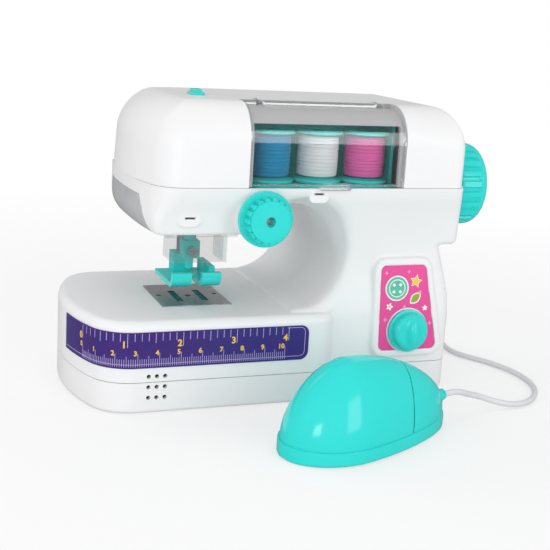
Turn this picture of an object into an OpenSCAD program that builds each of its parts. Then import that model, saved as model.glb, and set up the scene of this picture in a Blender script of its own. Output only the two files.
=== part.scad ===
// Toy sewing machine with a foot pedal
// Millimetres, +Z up, front towards -Y, handwheel towards +X, origin under the middle of the base

/* [Body] */
// Length of the base from end to end
body_l = 196; // [186:1:210]
// Depth from front to back
body_d = 100; // [96:1:112]
// Height over the top cover
body_h = 140; // [137:0.5:150]
// Height of the base pan
base_h = 14.5; // [13:0.5:16]
// Height of the sewing bed
bed_h = 42.5; // [41:0.5:46]
// Height of the seam under the top cover
seam_h = 102.5; // [101:0.5:104]
// Wall thickness of the housings
wall = 2.2; // [1.6:0.1:2.8]
// Radius of the bowed ends
end_r = 100; // [90:1:140]
// Radius of the left corners of the bed
bed_corner_r = 20; // [14:1:26]
// Radius of the right corners of the arm and top cover
arm_corner_r = 4; // [3:0.5:6]
// How far the column front lies behind the bed front
col_setback = 6; // [4:0.5:8]
// Right end of the bed block, from the middle of the base
block_end = 24; // [20:1:28]

/* [Head and throat] */
// Distance from the left end of the base to the left end of the head
head_inset = 26; // [20:1:32]
// How far the head reaches below the arm
head_drop = 13.5; // [10:0.5:16]
// Height of the throat between bed and arm
throat_h = 50; // [46:0.5:52]
// Centre of the round end of the throat, from the middle of the base
throat_x = 3.5; // [0:0.5:6]
// How far the column is waisted in at the front
waist_in = 9.5; // [7:0.5:11]
// Height of the waist
waist_h = 66; // [62:0.5:68]

/* [Lid and spools] */
// Width of the clear lid
lid_w = 72; // [70:1:76]
// Middle of the lid, from the middle of the base
lid_x = 17; // [15:0.5:18]
// Thickness of the lid
lid_t = 2; // [1.6:0.1:2.2]
// Diameter of a spool flange
spool_d = 23.6; // [20:0.1:24]
// Height of a spool
spool_h = 25; // [22:0.5:26]
// Distance between spools
spool_pitch = 24.3; // [24.2:0.1:25]
// Diameter of the wound thread
thread_d = 19.6; // [17:0.1:20]
// Turns in the outer layer of thread
thread_turns = 9; // [6:1:9]

/* [Drive and needle] */
// Diameter of the handwheel
wheel_d = 42; // [38:1:46]
// Width of the ribbed rim
rim_w = 14.5; // [12:0.5:16]
// Height of the main shaft
shaft_z = 98.5; // [97.5:0.1:99]
// Diameter of the main shaft
shaft_d = 5; // [4:0.1:6]
// Stroke of the needle
needle_stroke = 9; // [8:0.5:10]
// Place of the needle along the machine
needle_x = -38; // [-42:0.5:-36]
// Lift of the presser foot above the bed
foot_lift = 7; // [5:0.5:8]

/* [Controls] */
// Diameter of the tension dial flange
dial_d = 25.6; // [22:0.1:26]
// Diameter of the selector knob
knob_d = 17.4; // [15:0.1:19]
// Height of the panel
panel_h = 42; // [38:0.5:44]

/* [Pedal] */
// Place of the middle of the pedal along the machine
pedal_x = 1.6; // [-10:0.1:10]
// Distance of the middle of the pedal in front of the machine's middle
pedal_y = 105.3; // [100:0.1:115]
// Length of the pedal from its middle to the toe
pedal_toe = 27.5; // [24:0.5:34]
// Length of the pedal from its middle to the cord end
pedal_tail = 63; // [62:0.5:64]
// Half width of the pedal
pedal_half_w = 21; // [19:0.5:26]
// Height of the pedal
pedal_h = 41; // [38:0.5:44]
// Diameter of the cord
cord_d = 2.8; // [2.4:0.1:3]

/* [Hidden] */
$fn = 96;
half_l = body_l / 2;
half_d = body_d / 2;
fit = 0.3;
run = 0.05;

head_x = -half_l + head_inset;
head_end_r = 140;
head_corner_r = 15;
head_round = 12;
head_right = -6;
arm_z = bed_h + throat_h;
head_z = arm_z - head_drop;
throat_r = throat_h / 2;
throat_z = bed_h + throat_r;
flare_r = 6;
chin_z = 73;
chin_r = 5;
pad_x = half_l - 2.5;
block_corner_r = 8;
col_front = -half_d + col_setback;
lean_z = 46;
lean_in = 7;
lean_h = waist_h + 4 - lean_z;
cove_top = seam_h - 2.5;
cove_r = (pow(cove_top - waist_h, 2) + waist_in * waist_in) / (2 * waist_in);
cove_y = -half_d + waist_in - cove_r;

function cove_front(z) = cove_y + sqrt(cove_r * cove_r - pow(z - waist_h, 2));

cover_step = 1;
cover_end_r = 20;
cover_front_r = 17;
lid_back = -28;
lid_z = seam_h + 0.8;
window_h = body_h - 9;
window_rim = 2;
hinge_y = -20;
hinge_z = body_h - 1.6;
hinge_pin_d = 2;
hinge_spread = 30.5;
arm_w = 3;
tab_w = 16;
tab_h = 4;

spool_y = -28;
spool_xs = [lid_x - spool_pitch, lid_x, lid_x + spool_pitch];
tray_t = 2;
tray_top = seam_h - 0.2;
tray_front = -half_d + 3.4;
tray_back = -13.6;
tray_side = 1.4;
tray_w = 2 * spool_pitch + spool_d + 2 * tray_side + 1.6;
spindle_d = 6;
flange_t = 3;
spool_z = tray_top + 0.2;
yarn_d = 1.1;
pack_r = thread_d / 2 - yarn_d - 0.1;

shaft_y = -8;
needle_y = shaft_y;
wheel_gap = 1.5;
wheel_x = pad_x + wheel_gap;
dome_h = 6;
rib_count = 24;
shaft_left = -27;
crank_r = needle_stroke / 2;
crank_d = 18;
crank_t = 3;
crank_pin_d = 3;
web_t = 3;
web_left = -25.2;
web_right = half_l - 36;
bush_d = 7.2;
gear_module = 1;
gear_teeth = 36;
pinion_teeth = 12;
gear_x = web_right + web_t + 1.5;
gear_t = 5;
mesh_d = gear_module * (gear_teeth + pinion_teeth) / 2 + fit;
motor_z = shaft_z - mesh_d;
motor_d = 24;
motor_l = 26;
pulley_x = 77;
pulley_w = 6;
pulley_d = 14;
belt_t = 1.4;
lower_z = 26;
lower_d = 4;
lower_left = -44;
post_xs = [-20, 68];

bar_d = 6;
bar_high = body_h + 2.6;
takeup_w = 5.8;
takeup_d = 10;
yoke_x = needle_x + 1;
yoke_t = 2.8;
yoke_z = shaft_z + crank_r;
needle_d = 1.2;
needle_tip = bed_h - 4.5 + needle_stroke;
presser_y = 6;
presser_d = 5;
foot_z = bed_h + 0.6 + foot_lift;
foot_w = 24;
foot_t = 2.4;
clamp_z = foot_z + foot_t + needle_stroke + 0.8;
clamp_h = 8.6;
holder_d = 3.6;
holder_z = clamp_z - 5.3;
screw_z = clamp_z + 3.6;
collar_z = head_z + 14;
collar_d = 7;
shelf_z = seam_h - 3;
plate_t = 1.6;
plate_w = 34;
plate_front = -26;
plate_back = 14;
feed_throw = 1.5;
feed_l = 16;
feed_xs = [needle_x - 6.2, needle_x + 6.2];
feed_w = 2.6;

lens_top = head_z + 17.5;
lens_half = 28;
lens_slope = 0.55;
lens_x = head_x + 16;

dial_x = -16;
dial_z = head_z + 10;
dial_seat = -half_d - 0.4;
dial_flange_t = 2.4;
dial_l = 8.6;
dial_barrel_d = 18.6;
dial_hole_d = 4.6;
stud_d = 4;
guide_slots = [[10.3, seam_h - 2.6], [-49, head_z + 9.3]];

panel_x = half_l - 50;
panel_z = 22;
panel_tilt = 4.8;
panel_proud = 3.2;
panel_top_w = 24.5;
panel_foot_w = 31;
bezel_w = 3;
knob_u = 15.2;
knob_v = 9.6;
knob_ring_d = 21;
knob_turn = 90;

ruler_z = 21.4;
ruler_h = 16.7;
ruler_t = 0.45;
ruler_right = 9.5;
ruler_left_y = -13;
ruler_corner_r = 4;
speaker_x = -half_l + 35;
speaker_hole_d = 2;
hole_pitch_x = 3.8;
hole_pitch_z = 5;
hole_low_z = 7.2;

cell_d = 14;
cell_l = 50;
cell_xs = -22;
cell_y = 10;
cell_pitch = 14.4;
door_l = 58;
door_w = 46.4;
floor_t = 2.4;
door_t = 1.8;
screw_d = 2.6;
screw_head_d = 5;
base_screw_places = [
    [-half_l + 14, -22], [-half_l + 14, 22], [cell_xs - 8, 38],
    [half_l - 52, 38], [half_l - 14, -24], [half_l - 58, -34]];
rear_screw_places = [[-half_l + 38, 27], [half_l - 54, 19], [half_l - 26, 58], [head_x + 22, 90]];
post_d = 7;
screw_tip = -12;
jack_y = 28;
jack_z = 8.4;
jack_face = half_l - 5.6;
plug_d = 8;
plug_l = 13;
pin_d = 3.5;
board_t = 1.6;

pedal_angle = 16;
pedal_rim = 6.5;
pedal_plan_toe = 1.92;
pedal_plan_tail = 1.4;
pedal_peak = 3.4;
pedal_rise = 1.65;
pedal_tail_over = 1.7;
pedal_arch = 1.92;
pedal_wall = 1.8;
lip_t = 0.6;
treadle_end = 33;
treadle_end_r = 46;
pedal_axis_u = 26;
pedal_axis_z = 7;
pedal_pin_d = 3;
pedal_boss_d = 8;
pedal_boss_z = 13.6;
spring_u = -4;

function pedal_point(u, v, z) = [
    pedal_x + u * cos(pedal_angle) - v * sin(pedal_angle), -pedal_y + u * sin(pedal_angle) + v * cos(pedal_angle), z];
plug_end = jack_face + 17.6;

// Points that the cord's middle follows, from the plug to the pedal
cord_points = [
    [plug_end, jack_y, jack_z], [plug_end + 4, jack_y, jack_z], [plug_end + 8, 26, 7], [plug_end + 10, 21, 5],
    [plug_end + 10, 15, 3], [plug_end + 10, 9, 1.8], [plug_end + 11, 2, 1.6], [plug_end + 14, -5, 1.6],
    [plug_end + 18, -12, 1.6], [plug_end + 22, -20, 1.6], [plug_end + 25, -30, 1.6], [plug_end + 26, -40, 1.6],
    [plug_end + 25, -50, 1.6], [plug_end + 22, -59, 1.6], [plug_end + 17, -67, 1.6], [plug_end + 10, -74, 1.6],
    [plug_end + 2, -78, 1.8], [plug_end - 6, -79, 2.6], [plug_end - 14, -78, 4.4], [88, -78, 7.2],
    pedal_point(81, 1.6, 10.4), pedal_point(75, 0.4, 12.6), pedal_point(70, 0, pedal_boss_z),
    pedal_point(66, 0, pedal_boss_z), pedal_point(61, 0, pedal_boss_z)
];

white = [0.93, 0.93, 0.94];
teal = [0.2, 0.83, 0.8];
clear = [0.85, 0.9, 0.92, 0.4];
steel = [0.7, 0.71, 0.73];
thread_colours = [[0.1, 0.5, 0.68], [0.93, 0.92, 0.96], [0.9, 0.35, 0.65]];

// Extrudes a drawing in x and z along the depth
module along_y(depth = 400) {
    rotate([90, 0, 0]) linear_extrude(depth, center = true) children();
}

// Extrudes a drawing in y and z along the length, from x = 0
module along_x(length) {
    rotate([90, 0, 90]) linear_extrude(length) children();
}

// A round bar along x
module bar_x(d, x0, x1, y, z) {
    translate([x0, y, z]) rotate([0, 90, 0]) cylinder(d = d, h = x1 - x0);
}

// A round bar along y
module bar_y(d, y0, y1, x, z) {
    translate([x, y1, z]) rotate([90, 0, 0]) cylinder(d = d, h = y1 - y0);
}

// A box between two corners
module box(a, b) {
    translate(a) cube(b - a);
}

// Points of an arc
function arc(c, r, a0, a1, n = 8) = [for (i = [0 : n]) c + r * [cos(a0 + (a1 - a0) * i / n), sin(a0 + (a1 - a0) * i / n)]];

// Outline of a wheel with square-topped teeth or ribs
function toothed(count, r_low, r_high, share) = [
    for (i = [0 : count - 1])
        for (k = [[-0.5, r_low], [-share / 2, r_high], [share / 2, r_high], [0.5 - share * 0.2, r_low]])
            k[1] * [cos((i + k[0] * 0.98) * 360 / count), sin((i + k[0] * 0.98) * 360 / count)]
];

// Plan of an end bowed to radius R with corners of radius r, reaching from x = -len to x = 0
module bow_end(len, half_w, R, r) {
    bow_x = R - len;
    corner_x = bow_x - sqrt(pow(R - r, 2) - pow(half_w - r, 2));
    reach = 1.1 * R / (bow_x - corner_x);
    tip_x = bow_x + (corner_x - bow_x) * reach;
    tip_y = (half_w - r) * reach;
    translate([corner_x, -half_w]) square([-corner_x, 2 * half_w]);
    for (s = [-1, 1]) translate([corner_x, s * (half_w - r)]) circle(r);
    intersection() {
        translate([bow_x, 0]) circle(R, $fn = 240);
        polygon([[bow_x, 0], [tip_x, tip_y], [tip_x, -tip_y]]);
    }
}

// Plan of the column, set in from its faces by g
module column_plan(g) {
    intersection() {
        translate([half_l - end_r, col_setback / 2]) circle(end_r - g, $fn = 240);
        translate([0, col_front + g]) square([body_l, body_d - col_setback - 2 * g]);
    }
}

// Plan of the base and bed, set in by g
module bed_plan(g) {
    bow_end(half_l - g, half_d - g, end_r - g, bed_corner_r - g);
    translate([-1, -half_d + g]) square([block_end - block_corner_r + 1, half_d]);
    translate([-1, -half_d + block_corner_r]) square([block_end - g + 1, half_d - block_corner_r]);
    translate([block_end - block_corner_r, -half_d + block_corner_r]) circle(block_corner_r - g);
    column_plan(g);
}

// Plan of the head, arm and top cover, stepped in by step and set in by g
module head_plan(g, step = 0) {
    bow_end(-head_x - step - g, half_d - step - g, head_end_r - g, head_corner_r - g);
    mirror([1, 0]) bow_end(half_l - step - g, half_d - step - g, end_r - g, max(arm_corner_r - g, 0.5));
}

// Front outline of head, arm and shoulder, set in by g
module upper_profile(g) {
    translate([head_x + head_round, head_z + g])
        square([pad_x - head_x - head_round - g, seam_h - head_z + 2]);
    translate([head_x + g - 1, head_z + head_round]) square([head_round * 2, seam_h - head_z]);
    translate([head_x + head_round, head_z + head_round]) circle(head_round - g);
    translate([throat_x, chin_z + g]) square([pad_x - chin_r - throat_x, seam_h - chin_z]);
    translate([throat_x, chin_z + chin_r]) square([pad_x - throat_x - g, seam_h - chin_z]);
    translate([pad_x - chin_r, chin_z + chin_r]) circle(max(chin_r - g, 0.5));
}

// Column with its right end tapering in towards the waist, set in by g
module column(g) {
    low_z = bed_h - wall - 1;
    high_z = chin_z + 8;
    translate([0, 0, low_z]) linear_extrude(lean_z - low_z) column_plan(g);
    intersection() {
        translate([half_l - end_r, col_setback / 2, lean_z])
            cylinder(r1 = end_r - g, r2 = end_r - g - lean_in * (high_z - lean_z) / lean_h, h = high_z - lean_z, $fn = 240);
        box([0, col_front + g, lean_z - 1], [body_l, half_d - g, high_z + 1]);
    }
}

// Space of the throat with its flared front edge, widened by g
module throat(g) {
    along_y() {
        translate([head_x - 40, bed_h - 10]) square([throat_x - head_x + 40, head_z + g - bed_h + 10]);
        translate([head_right - g, bed_h - 10]) square([throat_x - head_right + g, arm_z + g - bed_h + 10]);
        intersection() {
            translate([throat_x, throat_z]) circle(throat_r + g);
            translate([head_right - g, 0]) square([body_l, body_h]);
        }
    }
    intersection() {
        translate([throat_x + flare_r / 3, -half_d - 4, throat_z + flare_r / 3]) rotate([-90, 0, 0])
            cylinder(r1 = throat_r + flare_r + g, r2 = throat_r - flare_r / 2 + g, h = 24);
        box([head_right - g, -body_d, 0], [body_l, 0, body_h]);
    }
}

// Outer form of the middle of the body, set in by g and lengthened by ext at its ends
module middle_form(g = 0, ext = 0) {
    translate([0, 0, base_h - ext]) linear_extrude(bed_h - g - base_h + ext) bed_plan(g);
    difference() {
        union() {
            intersection() {
                translate([0, 0, chin_z]) linear_extrude(seam_h - chin_z + ext) head_plan(g);
                along_y() upper_profile(g);
            }
            column(g);
        }
        throat(g);
        translate([0, cove_y, waist_h]) rotate([0, 90, 0])
            cylinder(r = cove_r + g, h = 2 * body_l, center = true, $fn = 240);
    }
}

// Drawing with its two upper corners rounded
module round_top(x0, x1, z0, z1, r) {
    translate([x0, z0]) square([x1 - x0, z1 - r - z0]);
    translate([x0 + r, z0]) square([x1 - x0 - 2 * r, z1 - z0]);
    for (x = [x0 + r, x1 - r]) translate([x, z1 - r]) circle(r);
}

// Outer form of the top cover, set in by g and lengthened downwards by ext
module cover_form(g = 0, ext = 0) {
    low = seam_h - ext;
    intersection() {
        translate([0, 0, low]) linear_extrude(body_h - low) head_plan(g, cover_step);
        along_y() round_top(head_x + cover_step + g, pad_x - cover_step - g, low, body_h - g, cover_end_r - g);
        translate([-body_l, 0, 0]) along_x(2 * body_l)
            round_top(-half_d + cover_step + g, half_d - cover_step - g, low, body_h - g, cover_front_r - g);
    }
}

// Space that the lamp lens takes at the left end of the head
module lens_zone(c) {
    low = head_z - 4;
    wide = lens_half + (lens_top - low) * lens_slope + c;
    translate([-body_l, 0, 0]) along_x(body_l + lens_x + c)
        polygon([[-lens_half - c, lens_top + c], [lens_half + c, lens_top + c], [wide, low], [-wide, low]]);
}

module needle_plate_recess() {
    box([needle_x - plate_w / 2, plate_front, bed_h - plate_t + 0.4], [needle_x + plate_w / 2, plate_back, bed_h + 4]);
    box([needle_x - 9, plate_front + 5, bed_h - 10], [needle_x + 9, plate_back - 5, bed_h + 1]);
}

// Shell of the middle body, with the openings that both halves share
module middle_shell() {
    difference() {
        middle_form();
        middle_form(wall, 1);
        lens_zone(0.15);
        needle_plate_recess();
        translate([needle_x, needle_y, head_z - 3]) cylinder(d = bar_d + 2 * run, h = 12);
        translate([needle_x, presser_y, head_z - 3]) cylinder(d = presser_d + 2 * run, h = 12);
    }
}

// Trapezoid of the panel with rounded corners, grown by g
module panel_outline(g) {
    r = 3 + g;
    a = [3, 3];
    b = [panel_foot_w - 3, 3];
    c = [panel_top_w - 3, panel_h - 3];
    d = [3, panel_h - 3];
    polygon(concat(arc(a, r, 180, 270), arc(b, r, 270, 360), arc(c, r, 0, 90), arc(d, r, 90, 180)));
}

// Places children on the panel, with x along it, y up it and z out of it
module on_panel() {
    translate([panel_x, col_front, panel_z]) rotate([90 - panel_tilt, 0, 0]) children();
}

module speaker_holes() {
    for (i = [-1 : 1], j = [0 : 2])
        bar_y(speaker_hole_d, -half_d - 5, -half_d + wall + 1, speaker_x + i * hole_pitch_x, hole_low_z + j * hole_pitch_z);
}

module base_pan() {
    color(white) difference() {
        union() {
            difference() {
                linear_extrude(base_h) bed_plan(0);
                translate([0, 0, floor_t]) linear_extrude(base_h) bed_plan(wall);
            }
            for (x = post_xs) box([x, shaft_y - 6, floor_t - 1], [x + web_t, shaft_y + 6, lower_z + 6]);
            for (p = base_screw_places) translate([p[0], p[1], 0]) cylinder(d = post_d, h = base_h - fit);
            for (x = [46, 74], y = [4, 18]) translate([x, y, floor_t - 1]) cylinder(d = 4, h = 4.6);
            box([jack_face - 9, jack_y - 7, floor_t - 1], [jack_face, jack_y + 7, base_h - fit]);
        }
        speaker_holes();
        for (x = post_xs) bar_x(lower_d + 2 * run, x - 1, x + web_t + 1, shaft_y, lower_z);
        for (p = base_screw_places) translate([p[0], p[1], -1]) {
            cylinder(d = screw_d, h = 40);
            cylinder(d = screw_head_d + 0.4, h = 4);
        }
        box([cell_xs - 4, cell_y - 9, -1], [cell_xs - 4 + door_l, cell_y - 9 + door_w, door_t + 0.05]);
        box([cell_xs - 2, cell_y - 7.4, -1], [cell_xs - 6 + door_l, cell_y - 10.6 + door_w, floor_t + 1]);
        bar_x(plug_d + 1, jack_face, half_l + 5, jack_y, jack_z);
        bar_x(pin_d + 2.5, jack_face - 20, jack_face + 1, jack_y, jack_z);
        box([jack_face - 20, jack_y - 5.2, jack_z - 5.2], [jack_face - 3, jack_y + 5.2, base_h + 5]);
    }
}

module front_housing() {
    color(white) difference() {
        intersection() {
            union() {
                middle_shell();
                for (x = [lid_x - tray_w / 2 + 1, lid_x + tray_w / 2 - 5])
                    box([x, -half_d + 1.6, tray_top - tray_t - 2.4], [x + 4, -half_d + 12, tray_top - tray_t]);
                on_panel() translate([0, 0, -1]) linear_extrude(panel_proud + 1) panel_outline(bezel_w);
                bar_y(dial_d - 3, dial_seat + 0.4, -half_d + 7, dial_x, dial_z);
                for (p = guide_slots) bar_y(3, cove_front(p[1] - 3) - 1, cove_front(p[1] - 3) + 1.6, p[0], p[1] - 3);
                intersection() {
                    for (p = rear_screw_places) bar_y(post_d, -half_d, 0, p[0], p[1]);
                    middle_form(wall - 0.6);
                }
            }
            box([-body_l, -body_d, 0], [body_l, 0, body_h]);
        }
        on_panel() translate([0, 0, panel_proud - 0.8]) linear_extrude(5) panel_outline(0.1);
        on_panel() translate([knob_u, knob_v, -20]) cylinder(d = 8, h = 40);
        bar_x(9, half_l - 20, half_l + 10, shaft_y, shaft_z);
        bar_y(stud_d, -body_d, -20, dial_x, dial_z);
        for (p = guide_slots)
            box([p[0] - 2.4, -half_d - 3, p[1] - 0.5], [p[0] + 2.4, cove_front(p[1]) + 4, p[1] + 0.5]);
        for (p = rear_screw_places) bar_y(screw_d, screw_tip, 1, p[0], p[1]);
        speaker_holes();
    }
}

// Upright web across the arm that carries the shaft bushes
module web(x, z0, z1) {
    difference() {
        union() {
            intersection() {
                middle_form(wall - 0.6, 1);
                box([x, 0, z0], [x + web_t, body_d, z1]);
            }
            intersection() {
                middle_form(wall + fit, 1);
                box([x, shaft_y - 9, z0], [x + web_t, 0.01, z1]);
            }
        }
        bar_x(bush_d, x - 1, x + web_t + 1, shaft_y, shaft_z);
    }
}

module rear_housing() {
    color(white) difference() {
        union() {
            intersection() {
                middle_shell();
                box([-body_l, 0, 0], [body_l, body_d, body_h]);
            }
            web(web_left, head_z, seam_h);
            difference() {
                web(web_right, motor_z - 16, seam_h);
                bar_x(10, web_right - 1, web_right + web_t + 1, shaft_y, motor_z);
            }
            box([needle_x - 7, presser_y - 3.2, shelf_z], [needle_x + 7, half_d - 1, shelf_z + 2.4]);
            intersection() {
                for (p = rear_screw_places) bar_y(post_d, 0, half_d, p[0], p[1]);
                middle_form(wall - 0.6);
            }
        }
        translate([needle_x, presser_y, head_z + 4]) cylinder(d = presser_d + 2 * run, h = 60);
        box([needle_x - 2.4, half_d - 8, collar_z - foot_lift - 3.6], [needle_x + 2.4, half_d + 8, collar_z + 0.6]);
        for (p = rear_screw_places) {
            bar_y(screw_d, -1, half_d + 5, p[0], p[1]);
            bar_y(screw_head_d + 0.4, half_d - 3, half_d + 5, p[0], p[1]);
        }
    }
}

// Space of the lid and its hinge arms in the top cover, with clearance c
module lid_zone(c) {
    box([lid_x - lid_w / 2 - c, -body_d, lid_z - c], [lid_x + lid_w / 2 + c, lid_back + c, body_h + 9]);
}

module hinge_places() {
    for (s = [-1, 1]) translate([lid_x + s * hinge_spread, hinge_y, hinge_z]) children();
}

module top_cover() {
    roof = lid_t + fit + wall;
    color(white) difference() {
        cover_form();
        cover_form(roof, 1);
        difference() {
            cover_form(wall, 1);
            box([lid_x - lid_w / 2 - 3, -body_d, 0], [lid_x + lid_w / 2 + 3, body_d, body_h + 1]);
        }
        difference() {
            lid_zone(fit);
            cover_form(lid_t + fit, 1);
        }
        box([lid_x - lid_w / 2 + window_rim, -body_d, seam_h - 1], [lid_x + lid_w / 2 - window_rim, spool_y, window_h]);
        box([lid_x - lid_w / 2 - fit, -body_d, seam_h - 1], [lid_x + lid_w / 2 + fit, -half_d + cover_step + lid_t + fit, lid_z]);
        hinge_places() box([-arm_w / 2 - fit, lid_back - hinge_y - 1, -2], [arm_w / 2 + fit, 2.1, 5]);
        hinge_places() bar_x(hinge_pin_d, -4, 4, 0, 0);
        box([needle_x - takeup_w / 2 - fit, needle_y - takeup_d / 2 - fit, body_h - 10],
            [needle_x + takeup_w / 2 + fit, needle_y + takeup_d / 2 + fit, body_h + 1]);
    }
}

module window_lid() {
    corner = 4;
    color(clear) difference() {
        union() {
            intersection() {
                difference() {
                    cover_form();
                    cover_form(lid_t, 1);
                }
                lid_zone(0);
                along_y() {
                    translate([lid_x - lid_w / 2, lid_z + corner]) square([lid_w, body_h]);
                    translate([lid_x - lid_w / 2 + corner, lid_z]) square([lid_w - 2 * corner, body_h]);
                    for (s = [-1, 1]) translate([lid_x + s * (lid_w / 2 - corner), lid_z + corner]) circle(corner);
                }
            }
            hinge_places() {
                box([-arm_w / 2, lid_back - hinge_y - 1, -1.2], [arm_w / 2, 0, 1.2]);
                bar_x(3.2, -arm_w / 2, arm_w / 2, 0, 0);
            }
            box([lid_x - tab_w / 2, -half_d - 1, lid_z], [lid_x + tab_w / 2, -half_d + cover_step + 1, lid_z + 2.4]);
            box([lid_x - tab_w / 2, -half_d - 2.6, lid_z + 2.4 - tab_h], [lid_x + tab_w / 2, -half_d - 0.4, lid_z + 2.4]);
        }
        hinge_places() bar_x(hinge_pin_d + 2 * run, -4, 4, 0, 0);
    }
}

module lid_pins() {
    color(steel) hinge_places() bar_x(hinge_pin_d, -4, 4, 0, 0);
}

module spool_tray() {
    color(teal) {
        box([lid_x - tray_w / 2, tray_front, tray_top - tray_t], [lid_x + tray_w / 2, tray_back, tray_top]);
        box([lid_x - tray_w / 2, tray_back - 1.6, tray_top - 1], [lid_x + tray_w / 2, tray_back, window_h]);
        for (s = [0, 1]) {
            x = lid_x + (s - 0.5) * tray_w - s * tray_side;
            box([x, spool_y - 3, tray_top - 1], [x + tray_side, tray_back, window_h]);
        }
        for (x = spool_xs) translate([x, spool_y, tray_top - 1]) cylinder(d = spindle_d, h = spool_h - 3);
    }
}

module spool(i) {
    r = spool_d / 2;
    core_r = 5;
    color(teal) translate([spool_xs[i], spool_y, spool_z]) difference() {
        union() {
            rotate_extrude() polygon([[0, 0], [r - 0.8, 0], [r, 0.8], [r, flange_t * 0.6], [core_r, flange_t],
                [core_r, spool_h - flange_t], [r, spool_h - flange_t * 0.6], [r, spool_h - 0.8],
                [r - 0.8, spool_h], [0, spool_h]]);
        }
        translate([0, 0, -1]) cylinder(d = spindle_d + 2 * run, h = spool_h - 2);
        translate([0, 0, spool_h - 2.4]) cylinder(d = 3, h = 4);
    }
}

module spool_1() { spool(0); }
module spool_2() { spool(1); }
module spool_3() { spool(2); }

pack_low = spool_z + flange_t + 0.1;
pack_high = spool_z + spool_h - flange_t - 0.1;

module thread_pack(i) {
    color(thread_colours[i]) translate([spool_xs[i], spool_y, pack_low]) difference() {
        cylinder(r = pack_r, h = pack_high - pack_low);
        translate([0, 0, -1]) cylinder(r = 5, h = spool_h);
    }
}

module thread_pack_1() { thread_pack(0); }
module thread_pack_2() { thread_pack(1); }
module thread_pack_3() { thread_pack(2); }

// A tube of round section swept along points, with each ring square to its neighbours
function unit(v) = v / norm(v);
function tangent(p, i) = unit(p[min(i + 1, len(p) - 1)] - p[max(i - 1, 0)]);
function side_of(t) = unit(cross(t, abs(t[2]) > 0.8 ? [1, 0, 0] : [0, 0, 1]));
module swept_tube(p, d, sides) {
    n = len(p);
    frames = [for (i = 0, s = side_of(tangent(p, 0)); i < n;
        i = i + 1, s = i < n ? let (t = tangent(p, i)) unit(s - t * (s * t)) : s) [s, cross(tangent(p, i), s)]];
    points = [for (i = [0 : n - 1], k = [0 : sides - 1])
        p[i] + d / 2 * (cos(k * 360 / sides) * frames[i][0] + sin(k * 360 / sides) * frames[i][1])];
    walls = [for (i = [0 : n - 2], k = [0 : sides - 1])
        let (a = i * sides + k, b = i * sides + (k + 1) % sides)
        each [[a, b + sides, b], [a, a + sides, b + sides]]];
    ends = [for (k = [1 : sides - 2])
        each [[0, k, k + 1], [(n - 1) * sides, (n - 1) * sides + k + 1, (n - 1) * sides + k]]];
    polyhedron(points, concat(walls, ends));
}

// Route of the outer layer of thread, wound up the spool, with ends that run straight at the flanges
wind_r = thread_d / 2 - yarn_d / 2;
wind_pitch = (pack_high - pack_low - 3.4 * yarn_d) / thread_turns;
wind_steps = thread_turns * 24;
wind_low = pack_low + 1.7 * yarn_d;
wind_turns = [for (i = [0 : wind_steps])
    [wind_r * cos(i * 15), wind_r * sin(i * 15), wind_low + wind_pitch * i / 24]];
wind_route = concat([wind_turns[0] - [0, 0, yarn_d * 1.1]], wind_turns, [wind_turns[wind_steps] + [0, 0, yarn_d * 1.1]]);
wind_last = len(wind_route) - 1;
wind_gap = min([for (i = [0 : wind_last]) for (j = [i + 6 : min(i + 30, wind_last)])
    norm(wind_route[i] - wind_route[j])]) - yarn_d;
echo(least_gap_between_turns_of_thread = wind_gap);

module thread_winding(i) {
    color(thread_colours[i]) translate([spool_xs[i], spool_y, 0]) swept_tube(wind_route, yarn_d, 6);
}

module thread_winding_1() { thread_winding(0); }
module thread_winding_2() { thread_winding(1); }
module thread_winding_3() { thread_winding(2); }

module handwheel() {
    dome_r = (pow(wheel_d / 2 - 2, 2) + dome_h * dome_h) / (2 * dome_h);
    color(teal) translate([wheel_x, shaft_y, shaft_z]) rotate([0, 90, 0]) difference() {
        union() {
            linear_extrude(rim_w) polygon(toothed(rib_count, wheel_d / 2 - 1.4, wheel_d / 2, 0.56));
            intersection() {
                translate([0, 0, rim_w + dome_h - dome_r]) sphere(dome_r, $fn = 160);
                translate([0, 0, rim_w - 1]) cylinder(d = wheel_d - 4, h = dome_h + 2);
            }
            translate([0, 0, -wheel_gap - 6]) cylinder(d = 8, h = rim_w);
        }
        translate([0, 0, -20]) cylinder(d = shaft_d, h = 20 + rim_w - 2);
        translate([0, 0, -1]) difference() {
            cylinder(d = wheel_d - 6, h = rim_w - 2);
            cylinder(d = 11, h = rim_w);
        }
    }
}

module main_shaft() {
    color(steel) bar_x(shaft_d, shaft_left, wheel_x + rim_w - 2, shaft_y, shaft_z);
}

module crank() {
    color(steel) {
        difference() {
            bar_x(crank_d, shaft_left - crank_t, shaft_left + 1.5, shaft_y, shaft_z);
            bar_x(shaft_d, shaft_left, shaft_left + 5, shaft_y, shaft_z);
            difference() {
                bar_x(crank_d + 2, shaft_left, shaft_left + 5, shaft_y, shaft_z);
                bar_x(10, shaft_left - 1, shaft_left + 6, shaft_y, shaft_z);
            }
        }
        bar_x(crank_pin_d, yoke_x + yoke_t + 0.5, shaft_left - crank_t + 1, shaft_y, shaft_z + crank_r);
    }
}

module wheel_on_shaft(x, width, bore, y, z) {
    translate([x, y, z]) rotate([0, 90, 0]) difference() {
        linear_extrude(width) children();
        translate([0, 0, -1]) cylinder(d = bore, h = width + 2);
    }
}

module drive_gear() {
    r = gear_module * gear_teeth / 2;
    color([0.9, 0.9, 0.85]) wheel_on_shaft(gear_x, gear_t, shaft_d, shaft_y, shaft_z)
        polygon(toothed(gear_teeth, r - 1.2 * gear_module, r + 0.7 * gear_module, 0.34));
}

module upper_pulley() {
    color([0.9, 0.9, 0.85]) wheel_on_shaft(pulley_x - 1, pulley_w + 2, shaft_d, shaft_y, shaft_z) circle(d = pulley_d);
}

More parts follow.
